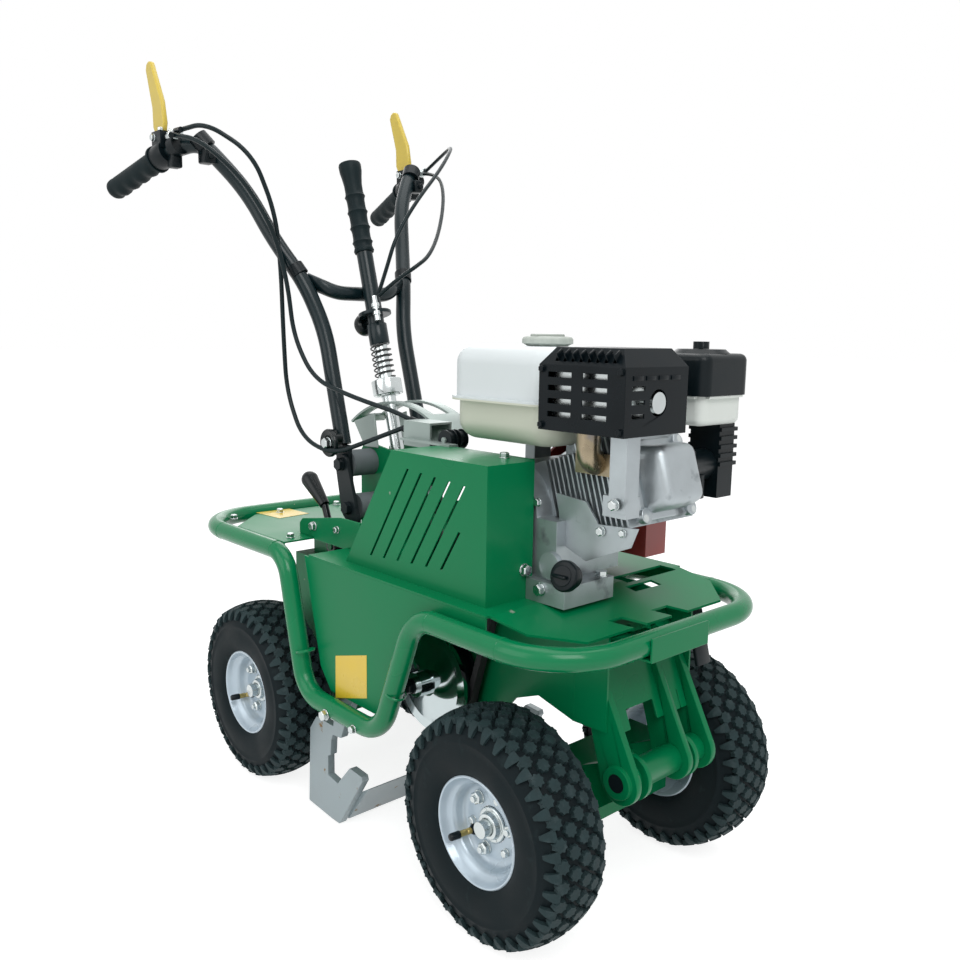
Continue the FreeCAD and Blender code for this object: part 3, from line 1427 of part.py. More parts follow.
def latch_spring():
    """Open coil round the lever rod between the latch sleeve and the collar."""
    r = spring_mean_d / 2
    w = spring_wire_d
    z0 = w / 2 + seat_gap
    z1 = spring_z1 - spring_z0 - w / 2 - seat_gap
    pitch = (z1 - z0) / spring_coils
    edges = []
    steps = 4 * spring_coils
    pts = []
    for i in range(2 * steps + 1):
        t = math.pi / 4 * i
        pts.append(V(r * math.cos(t), r * math.sin(t), z0 + pitch * t / (2 * math.pi)))
    for i in range(0, 2 * steps, 2):
        edges.append(Part.Arc(pts[i], pts[i + 1], pts[i + 2]).toShape())
    wire = Part.Wire(edges)
    first = edges[0]
    t = first.tangentAt(first.FirstParameter)
    circle = Part.Wire(Part.Circle(pts[0], t, w / 2).toShape())
    coil = wire.makePipeShell([circle], True, False)
    print("spring gap between turns", round(pitch - w, 2), "volume ratio",
          round(coil.Volume / (wire.Length * math.pi * w * w / 4), 4))
    coil.rotate(V(0, 0, 0), V(0, 1, 0), -lever_lean)
    put("latch_spring", coil.translated(V(*lean_point(spring_z0))))
    sleeve = lean_rod(spring_z1, collar_z, lever_tube_d / 2 + 3)
    return sleeve.cut(lean_rod(spring_z1 - 1, collar_z + 1, lever_rod_d / 2 + seat_gap))


# Shift lever, cables and their bracket

def shift_lever():
    a = shift_pivot
    k = shift_knob
    r = 6.0
    eye = ring(a[0], a[2], a[1] - 8, a[1] + 8, 12, 6 + shaft_clear)
    stem = rod((a[0] + (k[0] - a[0]) * 0.15, a[1], a[2] + (k[2] - a[2]) * 0.15), (k[0], k[1], k[2]), r)
    stem = stem.fuse(eye)
    stem = stem.cut(drum(a[0], a[2], a[1] - 20, a[1] + 20, 6 + shaft_clear))
    knob = cone(k, shift_tip, 8.5, 14.5)
    knob = knob.fuse(Part.makeSphere(14.5, V(*shift_tip)))
    knob = knob.cut(stem)
    put("shift_lever", stem.removeSplitter(), max(knob.Solids, key=lambda c: c.Volume))
    post = box(a[0] - 14, a[0] + 14, a[1] + 8 + body_gap, a[1] + 14 + body_gap, gearbox_top_z, a[2] + 10)
    post = post.fuse(rod((a[0], a[1] - 10, a[2]), (a[0], a[1] + 10, a[2]), 6))
    OUT["gearbox"] = OUT["gearbox"].fuse(post).removeSplitter()


def cable_bracket():
    z0 = guard_top_z - 9
    x0 = roller_x - cable_box_reach
    walls = box(x0, x0 + 60, roller_y0 - 4, roller_y1 + 4, z0, z0 + 36)
    walls = walls.cut(box(x0 + 3, x0 + 61, roller_y0 - 1, roller_y1 + 1, z0 - 1, z0 + 33))
    tab = box(x0 + 8, guard_top_rear_x + 24, guard_inner_y, roller_y0 - 1, guard_top_z, guard_top_z + 3)
    walls = walls.fuse(tab)
    arm = side_plate([(x0 + 56, z0), (x0 + 56, z0 + 24), (roller_x + 4, z0 + 18), (roller_x + 10, z0)],
                     (roller_y0 + roller_y1) / 2 - 2.5, (roller_y0 + roller_y1) / 2 + 2.5)
    pin = drum(roller_x, roller_z, roller_y0 - 3, roller_y1 + 3, 4)
    put("cable_bracket", walls.fuse(arm).fuse(pin).removeSplitter())
    rollers = []
    mid = (roller_y0 + roller_y1) / 2
    for y0, y1 in ((roller_y0, mid - 2.5 - body_gap), (mid + 2.5 + body_gap, roller_y1)):
        wheel_in = drum(roller_x, roller_z, y0, y1, 11)
        wheel_in = wheel_in.fuse(drum(roller_x, roller_z, y0, y0 + 2, 14))
        wheel_in = wheel_in.fuse(drum(roller_x, roller_z, y1 - 2, y1, 14))
        wheel_in = wheel_in.cut(drum(roller_x, roller_z, y0 - 1, y1 + 1, 4 + shaft_clear))
        rollers.append(wheel_in.removeSplitter())
    put("cable_rollers", *rollers)


def cables():
    """Outer casings that the lever housings and the cable bracket hold at both ends."""
    x0 = roller_x - cable_box_reach
    z = guard_top_z + 19
    loop = [(-292, -246, 1022), (-232, -232, 1026), (-192, -178, 985), (-190, -142, 900), (-198, -130, 815),
            (-205, -124, 720), (-203, -121, 628), (-160, -120, 556), (-88, -110, 536), (-18, -78, 566),
            (x0 - 2.5, -60, z)]
    upper = [(-292, -257, 1014), (-228, -243, 1000), (-204, -190, 950), (-190, -148, 880), (-183, -128, 800),
             (-180, -120, 715), (-142, -109, 650), (-66, -90, 626), (8, -60, 606), (x0 - 2.5, -47, z + 2)]
    put("control_cables", cable(loop, 7.0, "clutch cable"), cable(upper, 7.0, "drive cable"))


def build():
    frame()
    decks()
    belly()
    pivot_pin = front_lugs()
    front_carrier()
    wheels()
    gearbox()
    belt_drive()
    guard()
    engine()
    put("pivot_pins", pivot_pin, *blade())
    handlebar()
    hand_controls()
    star_knobs()
    handle_mounts()
    tower()
    quadrant()
    depth_lever()
    latch()
    OUT["depth_lever"] = Part.makeCompound(OUT["depth_lever"].Solids + [latch_spring()])
    shift_lever()
    cable_bracket()
    cables()


build()
for name, shape in OUT.items():
    shape.exportStep("parts/" + name + ".step")
print(len(OUT), "nodes")
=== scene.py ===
import math

import bmesh
import bpy
from mathutils import Matrix, Vector


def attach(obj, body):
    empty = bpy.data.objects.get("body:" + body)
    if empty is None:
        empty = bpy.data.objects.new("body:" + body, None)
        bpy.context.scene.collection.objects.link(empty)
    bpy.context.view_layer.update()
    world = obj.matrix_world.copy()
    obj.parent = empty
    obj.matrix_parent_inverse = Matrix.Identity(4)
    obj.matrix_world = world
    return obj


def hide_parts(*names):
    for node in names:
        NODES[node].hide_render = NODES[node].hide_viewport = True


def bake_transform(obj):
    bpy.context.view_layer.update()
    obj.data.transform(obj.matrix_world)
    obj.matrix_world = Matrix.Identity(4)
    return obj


bl_info = {
    "name": "Turf cutter dressing",
    "version": (1, 0, 0),
    "blender": (4, 5, 0),
    "location": "View3D > Sidebar > Turf cutter",
    "description": "Dresses a walk-behind turf cutter's frame with tyres, rims, controls, engine detail "
                   "and finishes",
    "category": "Object",
}

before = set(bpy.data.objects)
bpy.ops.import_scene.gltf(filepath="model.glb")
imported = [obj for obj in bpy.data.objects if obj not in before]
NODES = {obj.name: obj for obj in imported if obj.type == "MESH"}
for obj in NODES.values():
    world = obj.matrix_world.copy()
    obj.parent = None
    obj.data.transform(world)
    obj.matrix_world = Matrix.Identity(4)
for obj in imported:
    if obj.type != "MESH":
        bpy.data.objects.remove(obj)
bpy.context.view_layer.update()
FINISHES = {}
MM = 0.001


def mm(x, y, z):
    """A point given in millimetres, in metres."""
    return Vector((x * MM, y * MM, z * MM))


# Sizes and colours a user would change

class TurfWheelSizes(bpy.types.PropertyGroup):
    stars: bpy.props.IntProperty(name="Stars per row", description="Tread blocks round one row", default=36,
                                 min=12)
    star_outer: bpy.props.FloatProperty(name="Star tip radius", description="Centre to tip of a tread block",
                                        default=0.0092, unit="LENGTH")
    star_inner: bpy.props.FloatProperty(name="Star waist radius",
                                        description="Centre to notch of a tread block", default=0.0072,
                                        unit="LENGTH")
    row_pitch: bpy.props.FloatProperty(name="Row spacing",
                                       description="Distance between rows of tread blocks", default=0.0150,
                                       unit="LENGTH")
    lug_half: bpy.props.FloatProperty(name="Shoulder lug half width",
                                      description="Half width of a shoulder lug round the tyre",
                                      default=0.0072, unit="LENGTH")
    tyre_radius: bpy.props.FloatProperty(name="Tyre radius", description="Centre to the top of the tread",
                                         default=0.1425, unit="LENGTH")
    bolt_ring: bpy.props.FloatProperty(name="Bolt ring radius",
                                       description="Centre of the wheel to its bolts", default=0.0355,
                                       unit="LENGTH")


class TurfColours(bpy.types.PropertyGroup):
    green: bpy.props.FloatVectorProperty(name="Body paint",
                                         description="Colour of the frame and the sheet metal",
                                         subtype="COLOR", default=(0.000, 0.180, 0.064))
    bar_black: bpy.props.FloatVectorProperty(name="Handlebar paint",
                                             description="Colour of the handlebar tubes", subtype="COLOR",
                                             default=(0.004, 0.013, 0.016))
    lever_yellow: bpy.props.FloatVectorProperty(name="Lever yellow",
                                                description="Colour of the squeeze levers", subtype="COLOR",
                                                default=(0.62, 0.47, 0.07))
    rim_grey: bpy.props.FloatVectorProperty(name="Rim paint", description="Colour of the wheel rims",
                                            subtype="COLOR", default=(0.46, 0.55, 0.62))
    rubber: bpy.props.FloatVectorProperty(name="Tyre rubber", description="Colour of the tyres",
                                          subtype="COLOR", default=(0.006, 0.011, 0.013))
    cast: bpy.props.FloatVectorProperty(name="Cast metal", description="Colour of the engine castings",
                                        subtype="COLOR", default=(0.40, 0.44, 0.46))


def settings():
    """The wheel sizes and the colours that the panel shows."""
    return bpy.context.scene.turf_wheels, bpy.context.scene.turf_colours


# Materials

def finish(name, colour, rough=0.4, metal=0.0, coat=0.0, mottle=(14.0, 0.12), grain=(600.0, 0.05), spots=None,
           rough_spread=0.08, shine=0.5, split=None):
    """One procedural finish: colour mottling, roughness changes, a fine bump and optional spots of another colour.

    spots is (scale, start, end, colour, roughness); split is (axis, place in metres, colour below it).
    """
    mat = bpy.data.materials.new(name)
    mat.use_nodes = True
    tree = mat.node_tree
    tree.nodes.clear()
    out = tree.nodes.new("ShaderNodeOutputMaterial")
    shader = tree.nodes.new("ShaderNodeBsdfPrincipled")
    tree.links.new(shader.outputs[0], out.inputs[0])
    where = tree.nodes.new("ShaderNodeTexCoord")

    def noise(scale, detail=3.0):
        n = tree.nodes.new("ShaderNodeTexNoise")
        n.inputs["Scale"].default_value = scale
        n.inputs["Detail"].default_value = detail
        tree.links.new(where.outputs["Object"], n.inputs["Vector"])
        return n.outputs[0]

    def mix(factor, a, b):
        m = tree.nodes.new("ShaderNodeMix")
        m.data_type = "RGBA"
        tree.links.new(factor, m.inputs[0])
        for socket, value in ((m.inputs[6], a), (m.inputs[7], b)):
            if isinstance(value, (tuple, list)):
                socket.default_value = (*value, 1.0)
            else:
                tree.links.new(value, socket)
        return m.outputs[2]

    def ranged(value, low, high, to_low, to_high):
        r = tree.nodes.new("ShaderNodeMapRange")
        r.inputs[1].default_value = low
        r.inputs[2].default_value = high
        r.inputs[3].default_value = to_low
        r.inputs[4].default_value = to_high
        tree.links.new(value, r.inputs[0])
        return r.outputs[0]

    colour = tuple(colour)
    dark = tuple(c * (1 - mottle[1]) for c in colour)
    light = tuple(min(1.0, c * (1 + mottle[1])) for c in colour)
    cloud = noise(mottle[0])
    tint = mix(cloud, dark, light)
    if split:
        axis, place, below = split
        parts = tree.nodes.new("ShaderNodeSeparateXYZ")
        tree.links.new(where.outputs["Object"], parts.inputs[0])
        side = ranged(parts.outputs["XYZ".index(axis)], place - 0.0005, place + 0.0005, 0.0, 1.0)
        tint = mix(side, tuple(below), tint)
    rough_value = ranged(cloud, 0.3, 0.7, max(0.02, rough - rough_spread), min(1.0, rough + rough_spread))
    if spots:
        patch = ranged(noise(spots[0], 5.0), spots[1], spots[2], 0.0, 1.0)
        tint = mix(patch, tint, tuple(spots[3]))
        blend_rough = tree.nodes.new("ShaderNodeMix")
        tree.links.new(patch, blend_rough.inputs[0])
        tree.links.new(rough_value, blend_rough.inputs[2])
        blend_rough.inputs[3].default_value = spots[4]
        rough_value = blend_rough.outputs[0]
    tree.links.new(tint, shader.inputs["Base Color"])
    tree.links.new(rough_value, shader.inputs["Roughness"])
    shader.inputs["Metallic"].default_value = metal
    shader.inputs["Coat Weight"].default_value = coat
    shader.inputs["Coat Roughness"].default_value = 0.12
    shader.inputs["Specular IOR Level"].default_value = shine
    if grain:
        bump = tree.nodes.new("ShaderNodeBump")
        bump.inputs["Strength"].default_value = grain[1]
        bump.inputs["Distance"].default_value = 0.0006
        tree.links.new(noise(grain[0], 2.0), bump.inputs["Height"])
        tree.links.new(bump.outputs[0], shader.inputs["Normal"])
    FINISHES[name] = mat
    return mat


def mix_finishes():
    """Every finish on the machine."""
    c = settings()[1]
    finish("green powder coat", c.green, rough=0.34, coat=0.03, shine=0.16, mottle=(5.0, 0.10),
           grain=(900.0, 0.035),
           spots=(38.0, 0.74, 0.78, (0.30, 0.34, 0.28), 0.5))
    finish("green gloss tube", c.green, rough=0.24, coat=0.10, shine=0.25, mottle=(7.0, 0.08),
           grain=(500.0, 0.02),
           spots=(45.0, 0.72, 0.75, (0.36, 0.38, 0.30), 0.5))
    finish("black gloss tube", c.bar_black, rough=0.3, coat=0.06, shine=0.25, mottle=(12.0, 0.2),
           grain=(700.0, 0.02))
    finish("black satin paint", (0.005, 0.010, 0.012), rough=0.4, shine=0.2, mottle=(16.0, 0.25),
           grain=(900.0, 0.06))
    finish("guard black", (0.002, 0.005, 0.007), rough=0.30, shine=0.16, mottle=(20.0, 0.3),
           grain=(1000.0, 0.08))
    finish("cast aluminium", c.cast, rough=0.40, metal=0.75, mottle=(26.0, 0.22), grain=(420.0, 0.25),
           spots=(30.0, 0.62, 0.75, (0.16, 0.18, 0.19), 0.6))
    finish("zinc plate", (0.56, 0.60, 0.60), rough=0.24, metal=1.0, mottle=(40.0, 0.15), grain=(800.0, 0.05))
    finish("bright chrome", (0.50, 0.56, 0.57), rough=0.12, metal=1.0, mottle=(10.0, 0.2),
           grain=(700.0, 0.015))
    finish("tyre rubber", c.rubber, rough=0.6, mottle=(22.0, 0.30), grain=(700.0, 0.16), shine=0.10,
           spots=(60.0, 0.60, 0.80, (0.018, 0.028, 0.030), 0.8))
    finish("tread rubber", (0.020, 0.037, 0.040), rough=0.62, mottle=(90.0, 0.4), grain=(500.0, 0.3),
           shine=0.15,
           spots=(80.0, 0.55, 0.75, (0.045, 0.066, 0.070), 0.85))
    finish("rim paint", c.rim_grey, rough=0.30, metal=0.25, coat=0.4, mottle=(12.0, 0.08),
           grain=(600.0, 0.03))
    finish("bush rubber", (0.12, 0.14, 0.15), rough=0.7, mottle=(60.0, 0.2), grain=(500.0, 0.2))
    finish("grip rubber", (0.003, 0.010, 0.012), rough=0.5, shine=0.15, mottle=(40.0, 0.25),
           grain=(900.0, 0.15))
    finish("tank plastic", (0.66, 0.71, 0.72), rough=0.42, mottle=(6.0, 0.05), grain=(500.0, 0.04),
           split=("Z", 0.640, (0.60, 0.62, 0.52)))
    finish("cap plastic", (0.42, 0.46, 0.42), rough=0.5, mottle=(40.0, 0.1), grain=(700.0, 0.1))
    finish("black plastic", (0.003, 0.007, 0.009), rough=0.34, shine=0.2, mottle=(30.0, 0.25),
           grain=(900.0, 0.12))
    finish("white plastic", (0.72, 0.76, 0.72), rough=0.4, mottle=(14.0, 0.06), grain=(500.0, 0.05))
    finish("yellow plastic", c.lever_yellow, rough=0.34, mottle=(18.0, 0.10), grain=(600.0, 0.05),
           spots=(26.0, 0.68, 0.80, (0.40, 0.34, 0.10), 0.45))
    finish("heat bronze", (0.34, 0.28, 0.19), rough=0.32, metal=0.9, mottle=(30.0, 0.35), grain=(500.0, 0.08),
           spots=(40.0, 0.55, 0.72, (0.20, 0.20, 0.22), 0.4))
    finish("fan red", (0.34, 0.035, 0.030), rough=0.35, coat=0.2, mottle=(14.0, 0.12), grain=(700.0, 0.04))
    finish("belt rubber", (0.010, 0.011, 0.012), rough=0.75, mottle=(60.0, 0.2), grain=(700.0, 0.2))
    finish("cable sheath", (0.003, 0.011, 0.013), rough=0.33, shine=0.2, mottle=(30.0, 0.2),
           grain=(900.0, 0.04))
    finish("blade grey", (0.31, 0.37, 0.39), rough=0.40, metal=0.15, mottle=(14.0, 0.12), grain=(500.0, 0.06),
           spots=(42.0, 0.66, 0.70, (0.24, 0.15, 0.06), 0.75))
    finish("spring black", (0.010, 0.012, 0.012), rough=0.35, mottle=(50.0, 0.2), grain=(900.0, 0.05))
    finish("knob black", (0.004, 0.008, 0.009), rough=0.25, coat=0.05, shine=0.25, mottle=(30.0, 0.2),
           grain=(900.0, 0.04))
    finish("plate grey", (0.30, 0.36, 0.34), rough=0.38, metal=0.5, mottle=(20.0, 0.12), grain=(600.0, 0.06))
    finish("brass", (0.46, 0.35, 0.13), rough=0.35, metal=1.0, mottle=(60.0, 0.25), grain=(600.0, 0.08))
    finish("sticker yellow", (0.72, 0.50, 0.03), rough=0.32, coat=0.2, mottle=(30.0, 0.05),
           grain=(800.0, 0.02))
    # Near-black finish that is painted shade: it stands for the shadow inside open slots, not a colour of the
    # machine
    finish("slot painted shade", (0.003, 0.004, 0.004), rough=0.8, mottle=(30.0, 0.2), grain=(500.0, 0.1))


NODE_FINISH = {
    "main_frame": "green gloss tube", "front_deck": "green powder coat", "side_panels": "green powder coat",
    "rear_deck": "green powder coat", "middle_deck": "green powder coat",
               "belly_housing": "green powder coat",
    "front_lugs": "green powder coat", "front_carrier": "green powder coat", "gearbox": "green powder coat",
    "belt_guard": "green powder coat", "tower": "green powder coat", "pivot_pins": "black satin paint",
    "drive_belt": "belt rubber", "drive_pulley": "black satin paint", "driven_pulley": "black satin paint",
    "driven_shaft": "zinc plate", "eccentric_disc": "bright chrome", "crankshaft": "zinc plate",
    "engine_crankcase": "cast aluminium", "engine_cylinder": "cast aluminium",
               "valve_cover": "cast aluminium",
    "engine_bolts": "zinc plate", "exhaust_pipe": "heat bronze", "muffler": "zinc plate",
               "muffler_guard": "guard black",
    "fuel_tank": "tank plastic", "fuel_cap": "cap plastic", "air_cleaner_cover": "black plastic",
    "air_cleaner_body": "white plastic", "carburettor": "black plastic", "fan_cover": "fan red",
    "handlebar": "black gloss tube", "grips": "grip rubber", "lever_housings": "black plastic",
    "hand_lever_right": "yellow plastic", "hand_lever_left": "yellow plastic",
               "handle_links": "black satin paint",
    "rubber_bushes": "bush rubber", "quadrant": "plate grey", "cable_bracket": "plate grey",
    "cable_rollers": "black satin paint", "control_cables": "cable sheath", "front_axle": "zinc plate",
    "rear_axle": "zinc plate", "front_tyre_left": "tyre rubber", "front_tyre_right": "tyre rubber",
    "rear_tyres": "tyre rubber", "front_rim_left": "rim paint", "front_rim_right": "rim paint",
    "rear_rims": "rim paint", "idler_arm": "zinc plate", "idler_pulley": "black satin paint",
    "depth_lever": "zinc plate", "depth_lever_grip": "grip rubber", "latch_sleeve": "zinc plate",
    "latch_spring": "spring black", "shift_lever": "knob black", "star_knobs": "knob black",
    "blade_arms": "blade grey", "cutting_blade": "blade grey",
}
SOFT_EDGES = {"belt_guard": 0.0022, "front_deck": 0.0008, "middle_deck": 0.0010, "rear_deck": 0.0012,
              "tower": 0.0015,
              "engine_crankcase": 0.0020, "valve_cover": 0.0022, "muffler_guard": 0.0014,
              "blade_arms": 0.0012,
              "cutting_blade": 0.0008, "quadrant": 0.0006, "front_lugs": 0.0010, "belly_housing": 0.0010,
              "handle_links": 0.0010, "cable_bracket": 0.0006, "lever_housings": 0.0015, "gearbox": 0.0030,
              "front_carrier": 0.0015, "fuel_cap": 0.0012, "carburettor": 0.0010, "hand_lever_right": 0.0018,
              "hand_lever_left": 0.0018, "side_panels": 0.0008, "latch_sleeve": 0.0010,
              "engine_cylinder": 0.0005,
              "fan_cover": 0.0020}


# Shapes

def align(at, axis):
    """Places a shape built along Z at a point, facing along axis."""
    return Matrix.Translation(at) @ Vector(axis).normalized().to_track_quat("Z", "Y").to_matrix().to_4x4()


def rod(bm, a, b, r0, r1=None, sides=24):
    """Round bar between two points, tapering where a second radius is given."""
    a = Vector(a)
    b = Vector(b)
    r1 = r0 if r1 is None else r1
    at = align((a + b) / 2, b - a)
    bar = bmesh.ops.create_cone(bm, cap_ends=True, segments=sides, radius1=r0, radius2=r1,
                                depth=(b - a).length,
                                matrix=at)
    return bar["verts"]


def hex_bolt(bm, at, axis, across, height, washer=True):
    """Hexagon head with a chamfered top on a washer."""
    axis = Vector(axis).normalized()
    at = Vector(at)
    lift = 0.0
    if washer:
        lift = across * 0.12
        rod(bm, at, at + axis * lift, across * 0.62, sides=24)
    r = across / math.sqrt(3)
    rod(bm, at + axis * lift, at + axis * (lift + height * 0.8), r, sides=6)
    rod(bm, at + axis * (lift + height * 0.8), at + axis * (lift + height), r, r * 0.82, sides=6)


def slab(bm, lo, hi, edge=0.0, turn=None, pivot=None):
    """Block between two corners with softened edges, turned about a pivot where one is given."""
    lo = Vector(lo)
    hi = Vector(hi)
    size = hi - lo
    at = Matrix.Translation((lo + hi) / 2) @ Matrix.Diagonal((*[abs(s) for s in size], 1.0))
    verts = bmesh.ops.create_cube(bm, size=1.0, matrix=at)["verts"]
    if edge:
        edges = list({e for v in verts for e in v.link_edges})
        got = bmesh.ops.bevel(bm, geom=edges, offset=edge, segments=2, profile=0.5, affect="EDGES",
                              material=-1)
        verts = list({v for f in got["faces"] for v in f.verts} | {v for v in verts if v.is_valid})
    if turn is not None:
        bmesh.ops.transform(bm, matrix=Matrix.Translation(pivot) @ turn @ Matrix.Translation(-Vector(pivot)),
                            verts=verts)
    return verts


def lathe(bm, profile, centre, axis, steps=64, closed=True):
    """Spins (along, radius) points in millimetres round an axis through centre."""
    axis = Vector(axis).normalized()
    side = axis.orthogonal().normalized()
    centre = Vector(centre)
    verts = [bm.verts.new(centre + axis * (a * MM) + side * (r * MM)) for a, r in profile]
    edges = [bm.edges.new((verts[i], verts[i + 1])) for i in range(len(verts) - 1)]
    if closed:
        edges.append(bm.edges.new((verts[-1], verts[0])))
    bmesh.ops.spin(bm, geom=verts + edges, cent=centre, axis=axis, angle=2 * math.pi, steps=steps,
                   use_merge=True)
    bmesh.ops.remove_doubles(bm, verts=bm.verts, dist=1e-6)


def outline_plate(bm, points, thickness):
    """Closed outline of points, made a plate by pushing it along thickness."""
    verts = [bm.verts.new(p) for p in points]
    face = bm.faces.new(verts)
    pushed = bmesh.ops.extrude_face_region(bm, geom=[face], use_keep_orig=True)["geom"]
    moved = [g for g in pushed if isinstance(g, bmesh.types.BMVert)]
    bmesh.ops.translate(bm, verts=moved, vec=thickness)
    return verts + moved


def piece(name, bm, finish_name, body, bevel=0.0, smooth=math.radians(38), replaces=()):
    """Turns a bmesh into a finished piece that rides on a body."""
    bmesh.ops.remove_doubles(bm, verts=bm.verts, dist=1e-6)
    bmesh.ops.recalc_face_normals(bm, faces=bm.faces)
    mesh = bpy.data.meshes.new(name)
    bm.to_mesh(mesh)
    bm.free()
    mesh.polygons.foreach_set("use_smooth", [True] * len(mesh.polygons))
    mesh.set_sharp_from_angle(angle=smooth)
    mesh.materials.append(FINISHES[finish_name])
    obj = bpy.data.objects.new(name, mesh)
    bpy.context.scene.collection.objects.link(obj)
    if bevel:
        m = obj.modifiers.new("soft edges", "BEVEL")
        m.width = bevel
        m.segments = 2
        m.limit_method = "ANGLE"
        m.angle_limit = math.radians(35)
    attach(obj, body)
    if replaces:
        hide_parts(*replaces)
    return obj


def tube_along(name, points, diameter, finish_name, body, replaces=()):
    """Round bar or cable along a smooth line through points in metres."""
    curve = bpy.data.curves.new(name, "CURVE")
    curve.dimensions = "3D"
    spline = curve.splines.new("NURBS")
    spline.points.add(len(points) - 1)
    for p, q in zip(spline.points, points):
        p.co = (*q, 1.0)
    spline.order_u = 3
    spline.use_endpoint_u = True
    curve.bevel_depth = diameter / 2
    curve.bevel_resolution = 4
    curve.resolution_u = 8
    curve.use_fill_caps = True
    line = bpy.data.objects.new(name, curve)
    bpy.context.scene.collection.objects.link(line)
    mesh = bpy.data.meshes.new_from_object(line.evaluated_get(bpy.context.evaluated_depsgraph_get()))
    bpy.data.objects.remove(line)
    mesh.materials.clear()
    mesh.materials.append(FINISHES[finish_name])
    mesh.polygons.foreach_set("use_smooth", [True] * len(mesh.polygons))
    obj = bpy.data.objects.new(name, mesh)
    bpy.context.scene.collection.objects.link(obj)
    if body:
        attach(obj, body)
    if replaces:
        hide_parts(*replaces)
    return obj


# Wheels

AXLE_Z = 142.5
WHEEL_Y = 170.7
CROWN_FALL = 0.0052
STAR_LIFT = 0.0075
STAR_SINK = 0.0072
LUG_TOP = 0.1366
LUG_DEPTH = 0.0171
HUB_FACE = 0.0118
VALVE_TURN = math.radians(212)
BOLT_TURN = 13
WHEELS = (("front_right", 360.3, -1, "wheel_front_right", "front_tyre_right", "front_rim_right"),
          ("front_left", 360.3, 1, "wheel_front_left", "front_tyre_left", "front_rim_left"),
          ("rear_right", -200.3, -1, "rear_wheelset", "rear_tyres", "rear_rims"),
          ("rear_left", -200.3, 1, "rear_wheelset", "rear_tyres", "rear_rims"))


def crown(y):
    """How far the tread falls away from the crown at y millimetres off the middle."""
    return CROWN_FALL * y * y


def tread_mesh(sizes, top):
    """One tyre's stars and shoulder lugs about the origin, turned about Y, as a mesh."""
    bm = bmesh.new()
    star = bmesh.new()
    ring = bmesh.ops.create_circle(star, cap_ends=True, segments=16, radius=sizes.star_outer)["verts"]
    for i, v in enumerate(sorted(ring, key=lambda v: math.atan2(v.co.y, v.co.x))):
        if i % 2:
            v.co *= sizes.star_inner / sizes.star_outer
    base = star.faces[:]
    lifted = bmesh.ops.extrude_face_region(star, geom=base)["geom"]
    tops = [g for g in lifted if isinstance(g, bmesh.types.BMVert)]
    bmesh.ops.translate(star, verts=tops, vec=(0, 0, STAR_LIFT))
    bmesh.ops.scale(star, verts=tops, vec=(0.90, 0.90, 1.0))
    star_mesh = bpy.data.meshes.new("star block")
    star.to_mesh(star_mesh)
    star.free()
    n = sizes.stars
    rows = (-2, -1, 0, 1, 2)
    for row in rows:
        y = row * sizes.row_pitch
        tilt = math.atan(2 * CROWN_FALL * y / MM) * 0.9
        for i in range(n):
            turn = 2 * math.pi * (i + (0.5 if row % 2 else 0.0)) / n
            before = len(bm.verts)
            bm.from_mesh(star_mesh)
            bm.verts.ensure_lookup_table()
            low = top - crown(y / MM) * MM - STAR_SINK
            place = (Matrix.Rotation(turn, 4, "Y") @ Matrix.Translation((0, y, low)) @ Matrix.Rotation(-tilt,
                                                                                                       4, "X")
                     @ Matrix.Rotation(turn * 7.3, 4, "Z"))
            bmesh.ops.transform(bm, matrix=place, verts=bm.verts[before:])
    bpy.data.meshes.remove(star_mesh)
    lug = bmesh.new()
    w = sizes.lug_half
    shape = [(34.5, 136.6), (38.5, 133.8), (42.4, 128.6), (44.9, 122.0), (45.3, 119.5), (42, 118), (38, 124),
             (31, 129)]
    pts = [Vector((-w, a * MM, r * MM)) for a, r in shape]
    outline_plate(lug, pts, (2 * w, 0, 0))
    for v in lug.verts:
        depth = (LUG_TOP - v.co.z) / LUG_DEPTH
        v.co.x *= 1.0 - 0.72 * max(0.0, min(1.0, depth))
    lug_mesh = bpy.data.meshes.new("shoulder lug")
    bmesh.ops.recalc_face_normals(lug, faces=lug.faces)
    lug.to_mesh(lug_mesh)
    lug.free()
    for s in (-1, 1):
        for i in range(n):
            before = len(bm.verts)
            bm.from_mesh(lug_mesh)
            bm.verts.ensure_lookup_table()
            turn = 2 * math.pi * (i + 0.5) / n
            place = Matrix.Rotation(turn, 4, "Y") @ Matrix.Diagonal((1.0, s, 1.0, 1.0))
            bmesh.ops.transform(bm, matrix=place, verts=bm.verts[before:])
    bpy.data.meshes.remove(lug_mesh)
    return bm


def carcass_profile():
    """Tyre casing across its width, from bead to bead over the crown."""
    half = [(0, 137.2), (10, 136.8), (20, 135.2), (28, 132.6), (34, 129.2), (39, 123.5), (42.4, 115.5),
            (43.8, 111.0),
            (44.6, 110.0), (44.9, 108.4), (44.2, 107.0), (44.7, 100), (45.0, 90), (44.0, 80), (43.2, 77.5),
            (42.8, 75.5),
            (40.6, 71.0), (37.6, 67.4), (36.0, 65.0)]
    return [(-a, r) for a, r in reversed(half[1:])] + half


